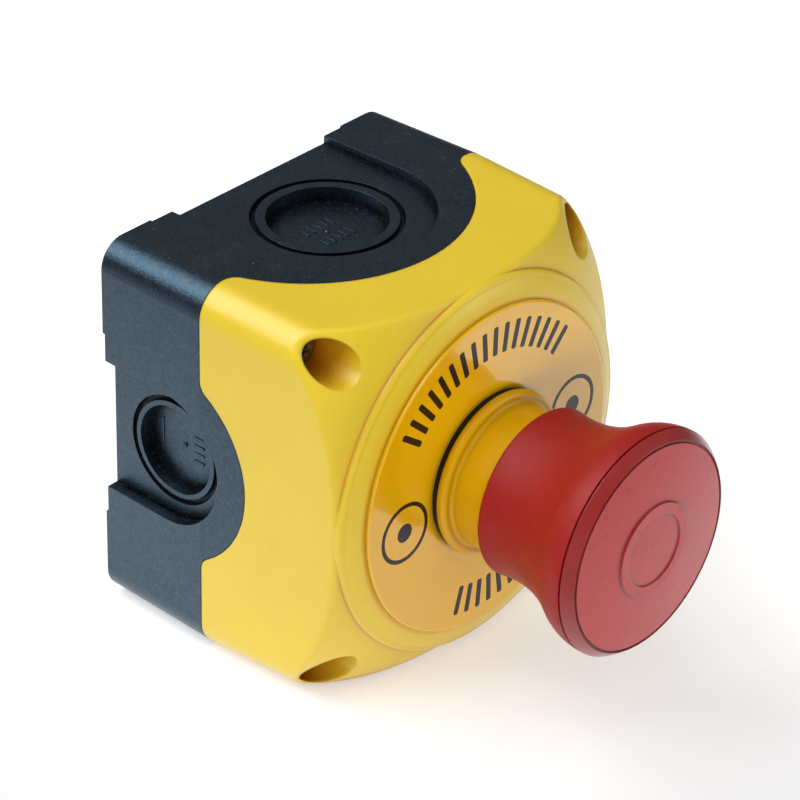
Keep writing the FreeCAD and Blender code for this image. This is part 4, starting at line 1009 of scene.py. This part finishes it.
class STOPBUTTON_OT_stage(bpy.types.Operator):
    """Sets the floor, the lamps, the surroundings and the camera"""

    bl_idname = "stop_button.stage"
    bl_label = "Set the stage"

    def execute(self, context):
        sizes = settings_of(context, "stage")
        context.scene.view_settings.view_transform = "Standard"
        self.floor(sizes)
        self.surroundings(context, sizes)
        lamps = {name: self.lamp(sizes, name) for name in ("key", "rim", "fill", "top")}
        lamps["fill"].data.shape = "RECTANGLE"
        lamps["fill"].data.size_y = sizes.fill_height
        for name in ("fill", "top"):
            lamps[name].visible_glossy = False
        self.camera(context, sizes)
        return {"FINISHED"}

    def floor(self, sizes):
        """A floor with a painted pool of light: palest round the object and darker further out."""
        shape = bmesh.new()
        bmesh.ops.create_circle(shape, cap_ends=True, radius=sizes.floor_radius, segments=96)
        mesh = mesh_of(shape, "floor")
        level = cad_box[0].z
        mesh.transform(Matrix.Translation((0, 0, level)))
        floor = linked("floor", mesh)
        material = bpy.data.materials.new("pale_floor")
        material.use_nodes = True
        tree = material.node_tree
        shader = tree.nodes["Principled BSDF"]
        shader.inputs["Roughness"].default_value = 0.9
        shader.inputs["Specular IOR Level"].default_value = 0.0
        shader.inputs["Emission Color"].default_value = (1, 1, 1, 1)
        away = add(tree, "ShaderNodeVectorMath", operation="DISTANCE")
        join(tree, surface_place(tree), away.inputs[0])
        away.inputs[1].default_value = (sizes.pool_across, sizes.pool_behind, level)
        # Painted pool of light: the floor colour fades from pale round the object to the far colour.
        near = between(tree, away.outputs["Value"], sizes.pool_inner, sizes.pool_outer, 1, 0)
        join(tree, mixed(tree, near, sizes.far_floor, sizes.near_floor), shader.inputs["Base Color"])
        glow = arithmetic(tree, "MULTIPLY", near, sizes.pool_glow)
        seen_glow = arithmetic(tree, "MULTIPLY", self.seen_rays(tree), glow)
        join(tree, seen_glow, shader.inputs["Emission Strength"])
        mesh.materials.append(material)

    def seen_rays(self, tree):
        """1 for what the camera sees directly, in a reflection or through glass."""
        rays = add(tree, "ShaderNodeLightPath").outputs
        seen = arithmetic(tree, "MAXIMUM", rays["Is Camera Ray"], rays["Is Glossy Ray"])
        return arithmetic(tree, "MAXIMUM", seen, rays["Is Transmission Ray"])

    def surroundings(self, context, sizes):
        """A dim room that is darkest along the horizon."""
        world = bpy.data.worlds.new("studio")
        world.use_nodes = True
        tree = world.node_tree
        shader = tree.nodes["Background"]
        way = add(tree, "ShaderNodeTexCoord").outputs["Generated"]
        parts = add(tree, "ShaderNodeSeparateXYZ", {"Vector": way}).outputs
        brightness = between(tree, parts["Z"], 0.0, 0.5, sizes.room_low, sizes.room_high)
        join(tree, mixed(tree, brightness, (0, 0, 0), (1, 1, 1)), shader.inputs["Color"])
        shader.inputs["Strength"].default_value = 1.0
        context.scene.world = world

    def lamp(self, sizes, name):
        """A soft lamp that faces the middle of the object."""
        data = bpy.data.lights.new(f"{name}_lamp", "AREA")
        data.energy = getattr(sizes, f"{name}_power")
        data.size = getattr(sizes, f"{name}_width")
        lamp = linked(f"{name}_lamp", data)
        lamp.location = getattr(sizes, f"{name}_place")
        middle = (cad_box[0] + cad_box[1]) / 2
        lamp.rotation_euler = (middle - lamp.location).to_track_quat("-Z", "Y").to_euler()
        return lamp

    def camera(self, context, sizes):
        """The camera, where the photograph was taken from."""
        data = bpy.data.cameras.new("camera")
        data.lens = sizes.focal_length
        data.sensor_width = 36
        data.clip_start = 0.01
        data.clip_end = 20
        right = Vector((math.cos(sizes.azimuth), math.sin(sizes.azimuth), 0))
        level = Vector((math.sin(sizes.azimuth), -math.cos(sizes.azimuth), 0))
        back = level * math.cos(sizes.elevation) + UP * math.sin(sizes.elevation)
        up = back.cross(right)
        target = Vector((0, -sizes.target_depth, 0))
        roll = Matrix.Rotation(sizes.roll, 3, back)
        turn = Matrix((roll @ right, roll @ up, back)).transposed()
        camera = linked("camera", data)
        place = target + back * sizes.distance - right * sizes.aside + up * sizes.above
        camera.matrix_world = Matrix.Translation(place) @ turn.to_4x4()
        context.scene.camera = camera


OPERATORS = (
    STOPBUTTON_OT_enclosure,
    STOPBUTTON_OT_legend,
    STOPBUTTON_OT_collar,
    STOPBUTTON_OT_mushroom,
    STOPBUTTON_OT_cover_screws,
    STOPBUTTON_OT_knockout_marks,
    STOPBUTTON_OT_mechanism,
    STOPBUTTON_OT_springs,
    STOPBUTTON_OT_stage,
)
SETTINGS = {
    "enclosure": EnclosureSettings,
    "legend": LegendSettings,
    "collar": CollarSettings,
    "mushroom": MushroomSettings,
    "screws": ScrewSettings,
    "knockouts": KnockoutSettings,
    "stage": StageSettings,
}


class STOPBUTTON_PT_panel(bpy.types.Panel):
    """Lists the operators and the sizes of the stop button"""

    bl_label = "Stop button"
    bl_idname = "STOPBUTTON_PT_panel"
    bl_space_type = "VIEW_3D"
    bl_region_type = "UI"
    bl_category = "Stop button"

    def draw(self, context):
        for operator in OPERATORS:
            self.layout.operator(operator.bl_idname)
        for name, group in SETTINGS.items():
            box = self.layout.box()
            box.label(text=name.capitalize())
            for field in group.__annotations__:
                box.prop(settings_of(context, name), field)


def register():
    for made in (*SETTINGS.values(), *OPERATORS, STOPBUTTON_PT_panel):
        bpy.utils.register_class(made)
    for name, group in SETTINGS.items():
        setattr(bpy.types.Scene, "stop_button_" + name, PointerProperty(type=group))


def unregister():
    for name in SETTINGS:
        delattr(bpy.types.Scene, "stop_button_" + name)
    for made in (STOPBUTTON_PT_panel, *reversed(OPERATORS), *SETTINGS.values()):
        bpy.utils.unregister_class(made)


def main():
    register()
    bpy.ops.stop_button.enclosure()
    bpy.ops.stop_button.legend()
    bpy.ops.stop_button.collar()
    bpy.ops.stop_button.mushroom()
    bpy.ops.stop_button.cover_screws()
    bpy.ops.stop_button.knockout_marks()
    bpy.ops.stop_button.mechanism()
    bpy.ops.stop_button.springs()
    bpy.ops.stop_button.stage()


if __name__ == "__main__":
    main()
